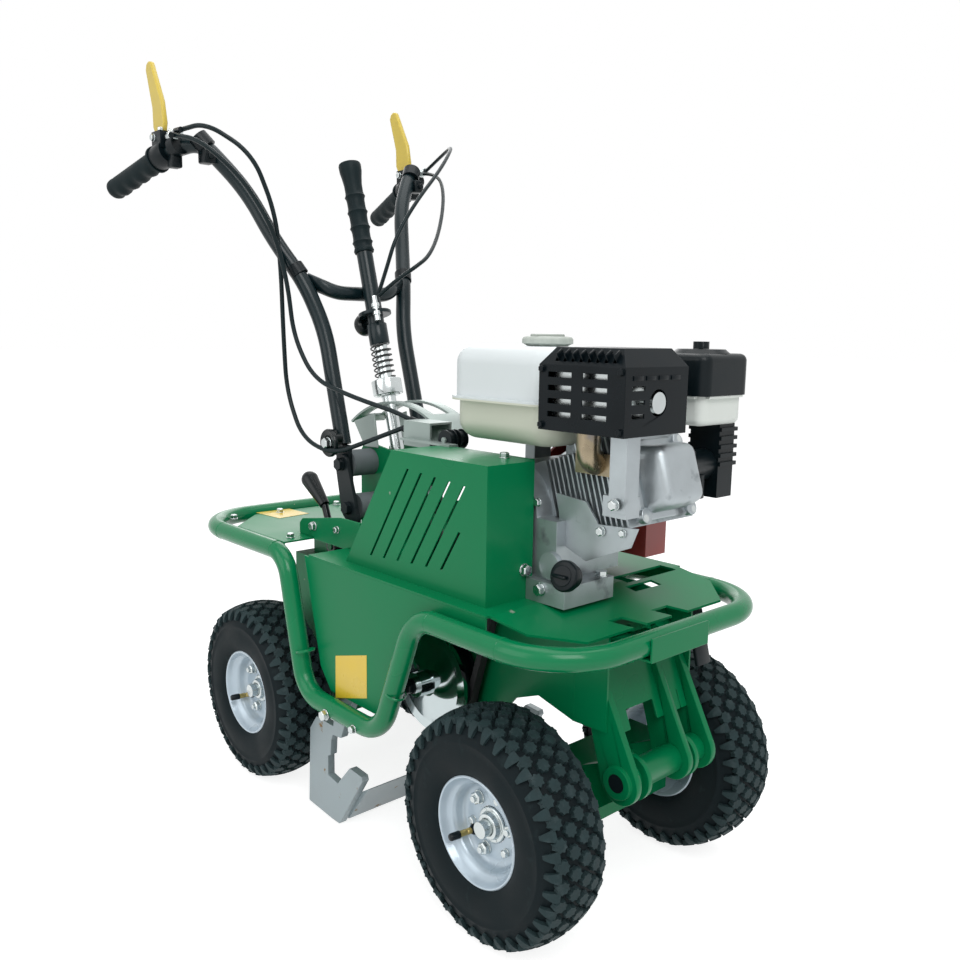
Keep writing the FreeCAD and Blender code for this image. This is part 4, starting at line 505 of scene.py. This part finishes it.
def rim_profile():
    """Painted rim from its outboard lip over the well to the inboard lip and back along the bead side."""
    face = [(36.4, 67.0), (38.2, 67.4), (39.2, 66.2), (38.8, 64.6), (37.0, 63.6), (33.0, 62.6), (29.0, 60.0),
            (26.0, 56.6),
            (24.0, 54.0), (20.0, 52.6), (14.0, 51.6), (11.0, 49.6), (9.4, 46.4), (9.0, 42.0), (9.0, 22.5)]
    back = [(5.6, 22.5), (5.6, 44.0), (4.0, 49.0), (-14.0, 50.0), (-22.0, 52.6), (-29.0, 58.0), (-37.0, 62.6),
            (-39.0, 65.4), (-38.0, 67.2), (-36.2, 67.0), (-34.0, 64.4), (-26.0, 61.4), (-20.0, 56.0),
            (-12.0, 53.6),
            (12.0, 54.2), (22.0, 57.0), (27.0, 61.0), (34.0, 64.6)]
    return face + back


def hub_profile():
    """Wheel bearing's housing and the end of the axle, along the axle and out from it."""
    return [(4.0, 10.2), (4.0, 21.8), (11.5, 21.8), (12.4, 20.8), (12.4, 17.0), (19.0, 15.6), (19.6, 14.6),
            (19.6, 11.2),
            (18.6, 10.2)]


def wheel_pieces(name, x, s, body, tyre_node, rim_node, sizes):
    """One wheel: casing, tread, rim, hub with its bolts, and valve."""
    y = s * WHEEL_Y
    centre = mm(x, y, AXLE_Z)
    axis = (0, s, 0)
    bm = bmesh.new()
    lathe(bm, carcass_profile(), centre, axis, steps=96)
    piece(name + "_carcass", bm, "tyre rubber", body, replaces=(tyre_node,))
    bm = tread_mesh(sizes, sizes.tyre_radius - 0.0002)
    bmesh.ops.transform(bm, matrix=Matrix.Translation(centre) @ Matrix.Rotation(0.3 * x, 4, "Y"),
                        verts=bm.verts)
    piece(name + "_tread", bm, "tread rubber", body, smooth=math.radians(25),
          replaces=(tyre_node,))
    bm = bmesh.new()
    lathe(bm, rim_profile(), centre, axis, steps=96)
    piece(name + "_rim", bm, "rim paint", body, replaces=(rim_node,))
    bm = bmesh.new()
    lathe(bm, hub_profile(), centre, axis, steps=48)
    ring = sizes.bolt_ring
    disc = centre + Vector(axis) * 0.009
    for i in range(6):
        t = math.radians(BOLT_TURN + 60 * i)
        spot = disc + Vector((ring * math.cos(t), 0, ring * math.sin(t)))
        big = i % 2 == 0
        hex_bolt(bm, spot, axis, 0.0142 if big else 0.0088, 0.0072 if big else 0.0052)
        if big:
            rod(bm, spot + Vector(axis) * 0.007, spot + Vector(axis) * 0.0125, 0.0040, sides=16)
    for i in range(6):
        t = math.radians(60 * i)
        spot = centre + Vector(axis) * HUB_FACE + Vector((0.0185 * math.cos(t), 0, 0.0185 * math.sin(t)))
        rod(bm, spot, spot + Vector(axis) * 0.0012, 0.0016, sides=8)
    piece(name + "_hub_bolts", bm, "zinc plate", body, bevel=0.0003)
    t = VALVE_TURN
    foot = disc + Vector((0.0385 * math.cos(t), 0, 0.0385 * math.sin(t)))
    way = Vector((-0.10, s, 0.02)).normalized()
    bm = bmesh.new()
    profile = [(-2, 0), (-2, 6.8), (2.5, 6.4), (4.5, 5.0), (6, 4.4), (6, 0)]
    lathe(bm, profile, foot, way, steps=24, closed=False)
    piece(name + "_valve_seat", bm, "black plastic", body)
    bm = bmesh.new()
    profile = [(5, 0), (5, 4.0), (11, 3.8), (12, 3.2), (13, 3.9), (24, 3.9), (25, 3.0), (25, 0)]
    lathe(bm, profile, foot, way, steps=20, closed=False)
    piece(name + "_valve_stem", bm, "brass", body)
    bm = bmesh.new()
    profile = [(23, 0), (23, 4.6), (24, 4.9), (35.5, 4.7), (37, 3.8), (37.6, 2.0), (37.6, 0)]
    lathe(bm, profile, foot, way, steps=20, closed=False)
    piece(name + "_valve_cap", bm, "black plastic", body)


class TURF_OT_wheels(bpy.types.Operator):
    """Makes the four tyres with their tread, and their rims, bolts and valves"""
    bl_idname = "turf.wheels"
    bl_label = "Wheels"

    def execute(self, context):
        sizes = settings()[0]
        for name, x, s, body, tyre_node, rim_node in WHEELS:
            wheel_pieces(name, x, s, body, tyre_node, rim_node, sizes)
        return {"FINISHED"}


class TURF_OT_finishes(bpy.types.Operator):
    """Mixes the finishes and gives each frame node its own"""
    bl_idname = "turf.finishes"
    bl_label = "Finishes"

    def execute(self, context):
        mix_finishes()
        for name, node in NODES.items():
            for slot in node.material_slots:
                slot.material = FINISHES[NODE_FINISH[name]]
            if not node.material_slots:
                node.data.materials.append(FINISHES[NODE_FINISH[name]])
            weld = node.modifiers.new("weld", "WELD")
            weld.merge_threshold = 1e-5
            if name in SOFT_EDGES:
                soft = node.modifiers.new("soft edges", "BEVEL")
                soft.width = SOFT_EDGES[name]
                soft.segments = 2
                soft.limit_method = "ANGLE"
                soft.angle_limit = math.radians(30)
                soft.use_clamp_overlap = True
                soft.harden_normals = False
        return {"FINISHED"}


CAMERA_AT = (1.1052, -0.8814, 0.7243)
CAMERA_YAW = math.radians(137.909)
CAMERA_PITCH = math.radians(-9.1008)
CAMERA_ROLL = math.radians(0.8119)
FOCAL_PIXELS = 918.995
PHOTO_SIDE = 960.0
SENSOR = 36.0


class TURF_OT_stage(bpy.types.Operator):
    """Sets the camera, the lamps, the pale floor and the white surroundings"""
    bl_idname = "turf.stage"
    bl_label = "Stage"

    def execute(self, context):
        scene = bpy.context.scene
        data = bpy.data.cameras.new("camera")
        cam = bpy.data.objects.new("camera", data)
        scene.collection.objects.link(cam)
        scene.camera = cam
        yaw = CAMERA_YAW
        pitch = CAMERA_PITCH
        roll = CAMERA_ROLL
        forward = Vector((math.cos(pitch) * math.cos(yaw), math.cos(pitch) * math.sin(yaw), math.sin(pitch)))
        right = forward.cross(Vector((0, 0, 1))).normalized()
        up = right.cross(forward)
        across = right * math.cos(roll) + up * math.sin(roll)
        above = -right * math.sin(roll) + up * math.cos(roll)
        turn = Matrix((across, above, -forward)).transposed().to_4x4()
        cam.matrix_world = Matrix.Translation(CAMERA_AT) @ turn
        data.sensor_width = SENSOR
        data.lens = SENSOR * FOCAL_PIXELS / PHOTO_SIDE
        data.clip_start = 0.05
        data.clip_end = 60.0
        bm = bmesh.new()
        bmesh.ops.create_grid(bm, x_segments=1, y_segments=1, size=30.0)
        mesh = bpy.data.meshes.new("floor")
        bm.to_mesh(mesh)
        bm.free()
        floor = bpy.data.objects.new("floor", mesh)
        floor.location.z = -0.0005
        scene.collection.objects.link(floor)
        mat = bpy.data.materials.new("pale floor")
        mat.use_nodes = True
        tree = mat.node_tree
        tree.nodes.clear()
        out = tree.nodes.new("ShaderNodeOutputMaterial")
        lit = tree.nodes.new("ShaderNodeBsdfDiffuse")
        lit.inputs[0].default_value = (0.86, 0.87, 0.87, 1)
        glow = tree.nodes.new("ShaderNodeEmission")
        glow.inputs[0].default_value = (1, 1, 1, 1)
        glow.inputs[1].default_value = 1.68
        path = tree.nodes.new("ShaderNodeLightPath")
        seen = tree.nodes.new("ShaderNodeMath")
        seen.operation = "MULTIPLY"
        seen.inputs[1].default_value = 0.5
        either = tree.nodes.new("ShaderNodeMath")
        either.operation = "MAXIMUM"
        tree.links.new(path.outputs["Is Camera Ray"], either.inputs[0])
        tree.links.new(path.outputs["Is Transmission Ray"], either.inputs[1])
        gloss = tree.nodes.new("ShaderNodeMath")
        gloss.operation = "MAXIMUM"
        tree.links.new(either.outputs[0], gloss.inputs[0])
        tree.links.new(path.outputs["Is Glossy Ray"], gloss.inputs[1])
        tree.links.new(gloss.outputs[0], seen.inputs[0])
        blend = tree.nodes.new("ShaderNodeMixShader")
        tree.links.new(seen.outputs[0], blend.inputs[0])
        tree.links.new(lit.outputs[0], blend.inputs[1])
        tree.links.new(glow.outputs[0], blend.inputs[2])
        tree.links.new(blend.outputs[0], out.inputs[0])
        mesh.materials.append(mat)
        world = bpy.data.worlds.new("white room")
        scene.world = world
        world.use_nodes = True
        tree = world.node_tree
        tree.nodes.clear()
        out = tree.nodes.new("ShaderNodeOutputWorld")
        back = tree.nodes.new("ShaderNodeBackground")
        path = tree.nodes.new("ShaderNodeLightPath")
        sides = tree.nodes.new("ShaderNodeMath")
        sides.operation = "MAXIMUM"
        tree.links.new(path.outputs["Is Camera Ray"], sides.inputs[0])
        tree.links.new(path.outputs["Is Transmission Ray"], sides.inputs[1])
        gloss = tree.nodes.new("ShaderNodeMath")
        gloss.operation = "MAXIMUM"
        tree.links.new(sides.outputs[0], gloss.inputs[0])
        tree.links.new(path.outputs["Is Glossy Ray"], gloss.inputs[1])
        level = tree.nodes.new("ShaderNodeMapRange")
        level.inputs[3].default_value = 0.40
        level.inputs[4].default_value = 1.0
        tree.links.new(gloss.outputs[0], level.inputs[0])
        tree.links.new(level.outputs[0], back.inputs[1])
        back.inputs[0].default_value = (1, 1, 1, 1)
        tree.links.new(back.outputs[0], out.inputs[0])
        for name, at, size, power in (("key", (2.2, -1.2, 2.6), 1.6, 46.0),
                                      ("fill", (-0.4, -2.8, 1.6), 2.2, 24.0),
                                      ("top", (0.0, 0.3, 3.0), 2.4, 34.0),
                                      ("back", (-2.4, 1.8, 2.0), 2.0, 22.0)):
            lamp = bpy.data.lights.new(name, "AREA")
            lamp.size = size
            lamp.energy = power
            obj = bpy.data.objects.new(name, lamp)
            obj.location = at
            obj.rotation_mode = "QUATERNION"
            obj.rotation_quaternion = (Vector((0, 0, 0.45)) - Vector(at)).to_track_quat("-Z", "Y")
            scene.collection.objects.link(obj)
        scene.view_settings.view_transform = "Standard"
        return {"FINISHED"}


# Engine, tank, guard

TILT = math.radians(17.5)
CRANK_X = 266
CRANK_Z = 500
CAP_X = 0.258


def bore_point(d, up, y):
    """A point d millimetres along the cylinder, up across it, and y to the left."""
    return mm(CRANK_X + d * math.cos(TILT) - up * math.sin(TILT), y,
              CRANK_Z + d * math.sin(TILT) + up * math.cos(TILT))


def bore_way():
    """The cylinder's direction, away from the crankshaft."""
    return Vector((math.cos(TILT), 0, math.sin(TILT)))


class TURF_OT_engine(bpy.types.Operator):
    """Makes the engine's fittings: guard louvres, oil filler, covers, fuel line, starter and bolts"""
    bl_idname = "turf.engine"
    bl_label = "Engine fittings"

    def execute(self, context):
        bm = bmesh.new()
        for i in range(8):
            x = 382 + i * 12
            slab(bm, mm(x + 5.4, -118.4, 694.5), mm(x + 6.6, -108.0, 706.5), 0.0002,
                 Matrix.Rotation(math.radians(34), 4, "X"), mm(x, -113, 700))
        for y in (-98, -76, -54, -32):
            slab(bm, mm(487.0, y - 8, 676), mm(488.2, y + 8, 681), 0.0004)
        for x, z in ((365.5, 685), (481.5, 685), (365.5, 621), (481.5, 621)):
            hex_bolt(bm, mm(x, -119, z), (0, -1, 0), 0.0070, 0.0030)
        piece("muffler_guard_louvres", bm, "guard black", "chassis", bevel=0.0003)
        bm = bmesh.new()
        lathe(bm, [(-8, 12.0), (-8, 15.0), (2, 15.0), (3, 19.0), (10, 19.0), (12, 17.5), (13, 12.0)],
              mm(390, -92, 440), (0.15, -1, 0.25), steps=40)
        lathe(bm, [(10, 0), (14, 0), (14, 12.5), (10, 12.5)], mm(390, -92, 440), (0.15, -1, 0.25), steps=32,
              closed=False)
        slab(bm, mm(380, -110.5, 440.5), mm(400, -104.5, 444.5), 0.001)
        piece("oil_filler", bm, "black plastic", "chassis", bevel=0.0005)
        bm = bmesh.new()
        for x, y, z, w, a in ((352, -99, 417, (0, -1, 0), 0.013), (306, -84, 470, (0, -1, 0), 0.009),
                              (330, -84, 520, (0, -1, 0), 0.009), (232, -84, 545, (0, -1, 0), 0.009)):
            hex_bolt(bm, mm(x, y, z), w, a, a * 0.5)
        hex_bolt(bm, mm(420, -69.5, 497), (0, -1, 0), 0.010, 0.005)
        hex_bolt(bm, mm(452, -69.5, 500), (0, -1, 0), 0.008, 0.004)
        hex_bolt(bm, mm(456, -91.0, 536), (0, -1, 0), 0.011, 0.006)
        piece("engine_cap_screws", bm, "zinc plate", "chassis", bevel=0.0003)
        turn = Matrix.Rotation(-TILT, 4, "Y")
        foot = bore_point(187, 0, 0)
        bm = bmesh.new()
        slab(bm, foot + Vector((0, -0.050, -0.048)), foot + Vector((0.0055, 0.050, 0.048)), 0.0024, turn,
             foot)
        for a in (-1, 1):
            for b in (-1, 1):
                spot = bore_point(187, a * 41, b * 43)
                rod(bm, spot, spot + bore_way() * 0.009, 0.0095, sides=24)
        piece("valve_cover_flange", bm, "cast aluminium", "chassis", bevel=0.0008,
              replaces=("valve_cover",))
        bm = bmesh.new()
        block = bmesh.ops.create_cube(bm, size=1.0)["verts"]
        bmesh.ops.transform(bm, matrix=Matrix.Diagonal((0.040, 0.086, 0.084, 1.0)), verts=block)
        for v in block:
            if v.co.x > 0:
                v.co.y *= 0.80
                v.co.z *= 0.80
        bmesh.ops.bevel(bm, geom=bm.edges[:], offset=0.011, segments=4, profile=0.5, affect="EDGES",
                        material=-1)
        bmesh.ops.transform(bm, matrix=Matrix.Translation(bore_point(207, 0, 0)) @ turn, verts=bm.verts)
        piece("valve_cover_box", bm, "cast aluminium", "chassis", replaces=("valve_cover",))
        bm = bmesh.new()
        lathe(bm, [(0, 0), (0, 27), (3, 32), (3, 33.5), (9, 33.5), (11.5, 31.5), (12.5, 27), (12.0, 0)],
              mm(258, 0, 708.5), (0, 0, 1), steps=72, closed=False)
        for v in bm.verts:
            away = math.hypot(v.co.x - CAP_X, v.co.y)
            if away > 0.030:
                turned = math.atan2(v.co.y, v.co.x - CAP_X)
                dent = 1.0 - 0.05 * max(0.0, math.cos(12 * turned))
                v.co.x = CAP_X + (v.co.x - CAP_X) * dent
                v.co.y *= dent
        slab(bm, mm(252, -27, 720.5), mm(264, 27, 724), 0.0012)
        piece("fuel_cap_top", bm, "cap plastic", "cap", bevel=0.0005, replaces=("fuel_cap",))
        tube_along("fuel_line",
                   [mm(330, 60, 590), mm(342, 74, 580), mm(366, 84, 562), mm(392, 92, 556), mm(412, 88, 548)],
                   0.0065,
                   "black plastic", "chassis")
        tube_along("spark_lead",
                   [mm(396, -30, 574), mm(398, -10, 600), mm(370, 24, 604), mm(338, 52, 590),
                    mm(318, 66, 572)], 0.0062,
                   "black plastic", "chassis")
        # Thin near-black slabs on the starter cover are painted shade: they stand in for the shadowed insides of
        # its open slots
        bm = bmesh.new()
        for i in range(18):
            t = 2 * math.pi * i / 18
            c = Vector((math.cos(t), 0, math.sin(t)))
            at = mm(CRANK_X, 128.0, CRANK_Z) + c * 0.0765
            slab(bm, at - Vector((0.0055, 0.0003, 0.0016)), at + Vector((0.0055, 0.0006, 0.0016)), 0.0,
                 Matrix.Rotation(-t, 4, "Y"), at)
            at = mm(CRANK_X, 140.0, CRANK_Z) + c * 0.042
            slab(bm, at - Vector((0.0085, 0.0002, 0.0014)), at + Vector((0.0085, 0.0005, 0.0014)), 0.0,
                 Matrix.Rotation(-t, 4, "Y"), at)
        piece("starter_slot_painted_shade", bm, "slot painted shade", "chassis")
        bm = bmesh.new()
        lathe(bm, [(-2, 0), (-2, 20), (3, 20), (5, 17), (5, 0)], mm(CRANK_X, 141, CRANK_Z), (0, 1, 0),
              steps=36, closed=False)
        for i in range(3):
            t = math.radians(90 + 120 * i)
            hex_bolt(bm, mm(CRANK_X + 62 * math.cos(t), 134.8, CRANK_Z + 62 * math.sin(t)), (0, 1, 0), 0.008,
                     0.004)
        piece("starter_hub", bm, "black plastic", "chassis", bevel=0.0004)
        bm = bmesh.new()
        lathe(bm, [(-24, 0), (-24, 4.5), (-18, 5.5), (0, 5.0), (18, 5.5), (24, 4.5), (24, 0)],
              mm(336, 121, 535), (0.0, 1, 0.0), steps=20, closed=False)
        piece("starter_handle", bm, "black plastic", "chassis")
        return {"FINISHED"}


# Frame dressing

class TURF_OT_frame_dressing(bpy.types.Operator):
    """Makes the frame's weld beads, fasteners, plain stickers and the belly's small parts"""
    bl_idname = "turf.frame_dressing"
    bl_label = "Frame dressing"

    def execute(self, context):
        bm = bmesh.new()
        for s in (-1, 1):
            for x, z, way in ((-275, 397, (1, 0, 0)), (393, 375, (1, 0, 0)), (-24, 260, (0.28, 0, -1)),
                              (196, 262, (0.35, 0, 1)),
                              (-104, 397, (1, 0, 0)), (268, 375, (1, 0, 0))):
                lathe(bm, [(-1.8, 13.7), (-1.2, 14.35), (1.2, 14.35), (1.8, 13.7)], mm(x, s * 202, z), way,
                      steps=40)
        piece("frame_weld_beads", bm, "green gloss tube", "chassis")
        bm = bmesh.new()
        side = [mm(35, -188.25, 265), mm(112, -188.25, 287), mm(112, -188.25, 225), mm(34, -188.25, 201)]
        outline_plate(bm, side, mm(0, -0.3, 0))
        rear = [mm(-363, -95, 400.25), mm(-359, -30, 400.25), mm(-299, -25, 400.25), mm(-293, -88, 400.25)]
        outline_plate(bm, rear, mm(0, 0, 0.3))
        piece("plain_yellow_stickers", bm, "sticker yellow", "chassis")
        bm = bmesh.new()
        for x, y, z, way, a in ((285, -100, 571, (0, 0, 1), 0.011), (326, -103, 437, (1, 0, 0), 0.013),
                                (-126, -121, 419, (0, -1, 0), 0.012), (-60, -121, 424, (0, -1, 0), 0.009),
                                (51, -216, 189, (0, -1, 0), 0.013), (120, -216, 191, (0, -1, 0), 0.010)):
            hex_bolt(bm, mm(x, y, z), way, a, a * 0.55)
        for s in (-1, 1):
            for x, y in ((-340, s * 150), (-150, s * 150), (-340, s * 60), (-150, s * 60)):
                hex_bolt(bm, mm(x, y, 400), (0, 0, 1), 0.011, 0.006)
        piece("frame_fasteners", bm, "zinc plate", "chassis", bevel=0.0004)
        bm = bmesh.new()
        slab(bm, mm(441, 92, 300), mm(447, 120, 372), 0.0015, Matrix.Rotation(math.radians(-14), 4, "Y"),
             mm(444, 104, 330))
        piece("front_hanger_bar", bm, "black satin paint", "chassis", bevel=0.0006)
        bm = bmesh.new()
        for i in range(10):
            t = 2 * math.pi * i / 10
            spot = mm(163.5 + 46 * math.cos(t), -110.2, 249 + 46 * math.sin(t))
            rod(bm, spot, spot + mm(0, -1.4, 0), 0.0032, sides=12)
        hex_bolt(bm, mm(163.5, -151, 249), (0, -1, 0), 0.017, 0.008)
        piece("driven_pulley_studs", bm, "black satin paint", "driven", bevel=0.0003)
        return {"FINISHED"}


# Handles

def hand_line(s):
    """Start and run of the straight hand end of one handlebar tube; s is 1 on the left and -1 on the right."""
    a = mm(-345, s * 238, 1000)
    return a, mm(-497, s * 269, 953) - a


def grip_mesh(s):
    """Rubber grip with a flange, fine rings and four finger waves on its underside."""
    a, d = hand_line(s)
    n = d.normalized()
    start = a + d * 0.2
    length = (a + d + n * 0.004 - start).length / MM
    profile = [(0, 13.0), (0, 20.5), (0.8, 21.4), (3.8, 21.4), (5.0, 20.0), (6.0, 16.4)]
    t = 8.0
    while t < length - 12:
        wide = 0.6 if int(t / 3.0) % 2 else 0.0
        profile.append((t, 15.7 + wide))
        t += 3.0
    profile += [(length - 10, 16.6), (length - 5, 16.0), (length - 2, 13.6), (length - 0.3, 8.0), (length, 0)]
    bm = bmesh.new()
    lathe(bm, profile, start, n, steps=40, closed=False)
    for v in bm.verts:
        along = (v.co - start).dot(n) / MM
        if 10 < along < length - 8:
            out = (v.co - start) - n * (v.co - start).dot(n)
            down = max(0.0, -out.normalized().z)
            wave = 0.5 - 0.5 * math.cos(2 * math.pi * (along - 10) / 27.0)
            v.co += out.normalized() * (0.0034 * wave * down * down)
    return bm


class TURF_OT_handles(bpy.types.Operator):
    """Makes the grips, the cable adjusters and ferrules, the lever pins and the throttle unit"""
    bl_idname = "turf.handles"
    bl_label = "Handles"

    def execute(self, context):
        for s, side in ((-1, "right"), (1, "left")):
            piece("grip_" + side, grip_mesh(s), "grip rubber", "chassis", replaces=("grips",))
            px, py, pz = -360.2, s * 241.1, 995.3
            bm = bmesh.new()
            for y in (-8.5, 8.5):
                hex_bolt(bm, mm(px + 9, py + y, pz + 34), (0, 0, 1), 0.0075, 0.0045)
            hex_bolt(bm, mm(px - 6, py - 13, pz + 25), (0, -1, 0), 0.0095, 0.0045)
            hex_bolt(bm, mm(px - 6, py + 13, pz + 25), (0, 1, 0), 0.0095, 0.0060)
            front = mm(px + 52, py, pz + 26)
            n = Vector((1, 0, 0.08)).normalized()
            lathe(bm, [(-27, 7.6), (-27, 8.6), (-16, 8.6), (-15.4, 7.4), (-14, 7.4), (-13.4, 8.2), (-7, 8.2),
                       (-6.4, 6.7), (-27, 6.6)], front, n, steps=24)
            for i in range(7):
                rod(bm, front + n * (-0.006 + i * 0.0016), front + n * (-0.0052 + i * 0.0016), 0.0072,
                    sides=20)
            rod(bm, front - n * 0.004, front + n * 0.0060, 0.0066, sides=20)
            piece("cable_adjuster_" + side, bm, "zinc plate", "chassis", bevel=0.0003)
            bm = bmesh.new()
            a, d = hand_line(s)
            n = d.normalized()
            at = a - n * 0.012
            rod(bm, at, at - n * 0.016, 0.0165, sides=32)
            slab(bm, at + mm(-10, -9, -31), at + mm(10, 9, -10), 0.003)
            piece("switch_body_" + side, bm, "black plastic", "chassis", bevel=0.0008)
            bm = bmesh.new()
            lathe(bm, [(-9, 12.6), (-9, 14.2), (9, 14.2), (9, 12.6)], mm(-192, s * 104.5, 817),
                  Vector((-0.5, s * 0.33, 0.8)), steps=32)
            piece("strap_band_" + side, bm, "black plastic", "chassis", bevel=0.0005)
        bm = bmesh.new()
        for at, to in ((mm(-292, -257, 1014), mm(-309, -246.5, 1019)),
                       (mm(-292, -246, 1022), mm(-309, -243.5, 1023))):
            rod(bm, at, to, 0.0046, 0.0052, sides=20)
            rod(bm, at + (at - to) * 0.6, at, 0.0044, sides=20)
        for at, to in ((mm(43.5, -60, 590), mm(30, -65, 583)), (mm(43.5, -47, 592), mm(31, -50.5, 597))):
            rod(bm, at, to, 0.0055, 0.0048, sides=20)
        piece("cable_ferrules", bm, "black plastic", "chassis", bevel=0.0005)
        for s, side in ((-1, "right"), (1, "left")):
            px, pz, tx, tz = -366.2, 1020.3, -399.0, 1143.0
            shape = [(px - 9, pz - 6), (px + 8, pz - 3), (px + 17, pz + 22), (px + 10, pz + 56),
                     (tx + 12, tz - 10), (tx + 8, tz - 2.5),
                     (tx, tz - 0.2), (tx - 8, tz - 3), (tx - 12, tz - 12), (px - 25, pz + 50),
                     (px - 24, pz + 20)]
            bm = bmesh.new()
            outline_plate(bm, [mm(x, s * 241.1 - 4, z) for x, z in shape], mm(0, 8, 0))
            piece("squeeze_lever_" + side, bm, "yellow plastic", "squeeze_" + side,
                  bevel=0.0024,
                  replaces=("hand_lever_" + side,))
        routes = {"speed_cable": [(-306, 243, 1022), (-250, 240, 1046), (-178, 204, 1048), (-112, 122, 990),
                                  (-82, 44, 925),
                                  (-80, 4, 868), (-88, -8, 818), (-106, -10, 782)],
                  "depth_cable": [(-306, 239, 1018), (-246, 226, 1010), (-168, 176, 960), (-92, 104, 890),
                                  (-38, 40, 842),
                                  (-28, 4, 822), (-66, -10, 800), (-100, -12, 780)]}
        for name, route in routes.items():
            obj = tube_along(name, [mm(*q) for q in route], 0.0062, "cable sheath", None)
            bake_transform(obj)
        bm = bmesh.new()
        for s in (-1, 1):
            at = mm(-300, s * 205, 1011)
            n = Vector((-0.42, s * 0.52, 0.74))
            rod(bm, at - n * 0.011, at + n * 0.011, 0.0158, sides=32)
            slab(bm, at + mm(2, -10, -34), at + mm(26, 10, -12), 0.003)
            hex_bolt(bm, at + mm(26, 0, -23), (1, 0, 0), 0.009, 0.005)
        piece("throttle_clamps", bm, "black plastic", "chassis", bevel=0.0008)
        return {"FINISHED"}


# Depth lever

LEAN = math.radians(16.0)


def lean(d, y=0.0, side=0.0):
    """A point d millimetres up the lever, y to the left, side ahead of its middle."""
    return mm(-34 - d * math.sin(LEAN) + side * math.cos(LEAN), y,
              418 + d * math.cos(LEAN) + side * math.sin(LEAN))


class TURF_OT_depth_lever(bpy.types.Operator):
    """Makes the depth lever's rod, tube, collar, grip, knobs and latch fittings"""
    bl_idname = "turf.depth_lever"
    bl_label = "Depth lever"

    def execute(self, context):
        up = Vector((-math.sin(LEAN), 0, math.cos(LEAN)))
        base = lean(0)
        bm = bmesh.new()
        lathe(bm, [(-6, 0), (-6, 10.6), (8, 11.0), (300, 11.0), (300, 0)], base, up, steps=40, closed=False)
        lathe(bm, [(-13, 6.2), (-13, 13.0), (13, 13.0), (13, 6.2)], base, (0, 1, 0), steps=40)
        piece("lever_rod", bm, "zinc plate", "lever", replaces=("depth_lever",))
        bm = bmesh.new()
        lathe(bm, [(296, 11.2), (296, 15.4), (297, 16.0), (329, 16.0), (330, 15.4), (330, 13.0), (344, 13.0),
                   (344, 26.0), (345, 26.5),
                   (349, 26.5), (350, 26.0), (350, 13.0), (470, 13.0), (470, 0)], base, up, steps=48,
              closed=False)
        piece("lever_tube", bm, "black gloss tube", "lever", replaces=("depth_lever",),
              bevel=0.0005)
        bm = bmesh.new()
        profile = [(449, 13.2), (449, 15.4), (452, 16.4), (456, 15.2)]
        for d in (466, 490, 516, 542):
            profile += [(d - 8, 14.4), (d - 3, 15.0), (d, 16.6), (d + 3, 15.0), (d + 8, 14.4)]
        profile += [(562, 14.6), (574, 16.2), (584, 18.0), (594, 18.4), (597, 17.4), (598.5, 14.0), (599, 0)]
        lathe(bm, profile, base, up, steps=48, closed=False)
        piece("lever_grip", bm, "grip rubber", "lever", replaces=("depth_lever_grip",))
        bm = bmesh.new()
        at = lean(347, -10, 19)
        lathe(bm, [(-16, 2.6), (-16, 4.6), (-7, 4.6), (-6.5, 6.4), (-1, 6.4), (-1, 5.2), (6, 5.2), (6, 6.4),
                   (12, 6.4), (12.5, 4.4), (24, 4.2), (24, 2.6)], at, up, steps=24)
        hex_bolt(bm, lean(338, 0, -38), -Vector((math.cos(LEAN), 0, math.sin(LEAN))), 0.011, 0.006)
        piece("lever_adjuster", bm, "zinc plate", "lever", bevel=0.0003)
        bm = bmesh.new()
        out = -Vector((math.cos(LEAN), 0, math.sin(LEAN)))
        rod(bm, lean(338, 0, -14), lean(338, 0, -27), 0.006, sides=20)
        lathe(bm, [(26, 4.0), (24, 12.0), (27, 17.0), (33, 18.5), (38, 17.0), (38, 4.0)], lean(338, 0, 0),
              out, steps=40)
        piece("lever_knob", bm, "knob black", "lever", bevel=0.0005)
        bm = bmesh.new()
        for s in (-1, 1):
            way = Vector((0, s, 0))
            at = mm(-106, s * 103.8, 552)
            lathe(bm, [(0, 4.0), (0, 9.0), (3.0, 12.0), (4.2, 20.5), (2.0, 22.0), (-2.0, 22.0), (-2.0, 4.0)],
                  at, way, steps=40)
        piece("clamp_knob_dishes", bm, "knob black", "chassis", bevel=0.0005)
        bm = bmesh.new()
        for s in (-1, 1):
            hex_bolt(bm, mm(-106, s * 105.5, 552), (0, s, 0), 0.015, 0.008)
        piece("clamp_knob_bolts", bm, "zinc plate", "chassis", bevel=0.0003)
        return {"FINISHED"}


class TURF_PT_panel(bpy.types.Panel):
    """Lists the steps that dress the turf cutter"""
    bl_idname = "TURF_PT_panel"
    bl_label = "Turf cutter"
    bl_space_type = "VIEW_3D"
    bl_region_type = "UI"
    bl_category = "Turf cutter"

    def draw(self, context):
        for op in STEPS:
            self.layout.operator(op.bl_idname)
        for group in (context.scene.turf_wheels, context.scene.turf_colours):
            for name in group.__annotations__:
                self.layout.prop(group, name)


STEPS = (TURF_OT_finishes, TURF_OT_stage, TURF_OT_wheels, TURF_OT_engine, TURF_OT_frame_dressing,
         TURF_OT_handles,
         TURF_OT_depth_lever)
CLASSES = (TurfWheelSizes, TurfColours, *STEPS, TURF_PT_panel)


def register():
    for cls in CLASSES:
        bpy.utils.register_class(cls)
    bpy.types.Scene.turf_wheels = bpy.props.PointerProperty(type=TurfWheelSizes)
    bpy.types.Scene.turf_colours = bpy.props.PointerProperty(type=TurfColours)


def unregister():
    del bpy.types.Scene.turf_colours
    del bpy.types.Scene.turf_wheels
    for cls in reversed(CLASSES):
        bpy.utils.unregister_class(cls)


def main():
    register()
    for step in STEPS:
        area, call = step.bl_idname.split(".")
        getattr(getattr(bpy.ops, area), call)()


if __name__ == "__main__":
    main()
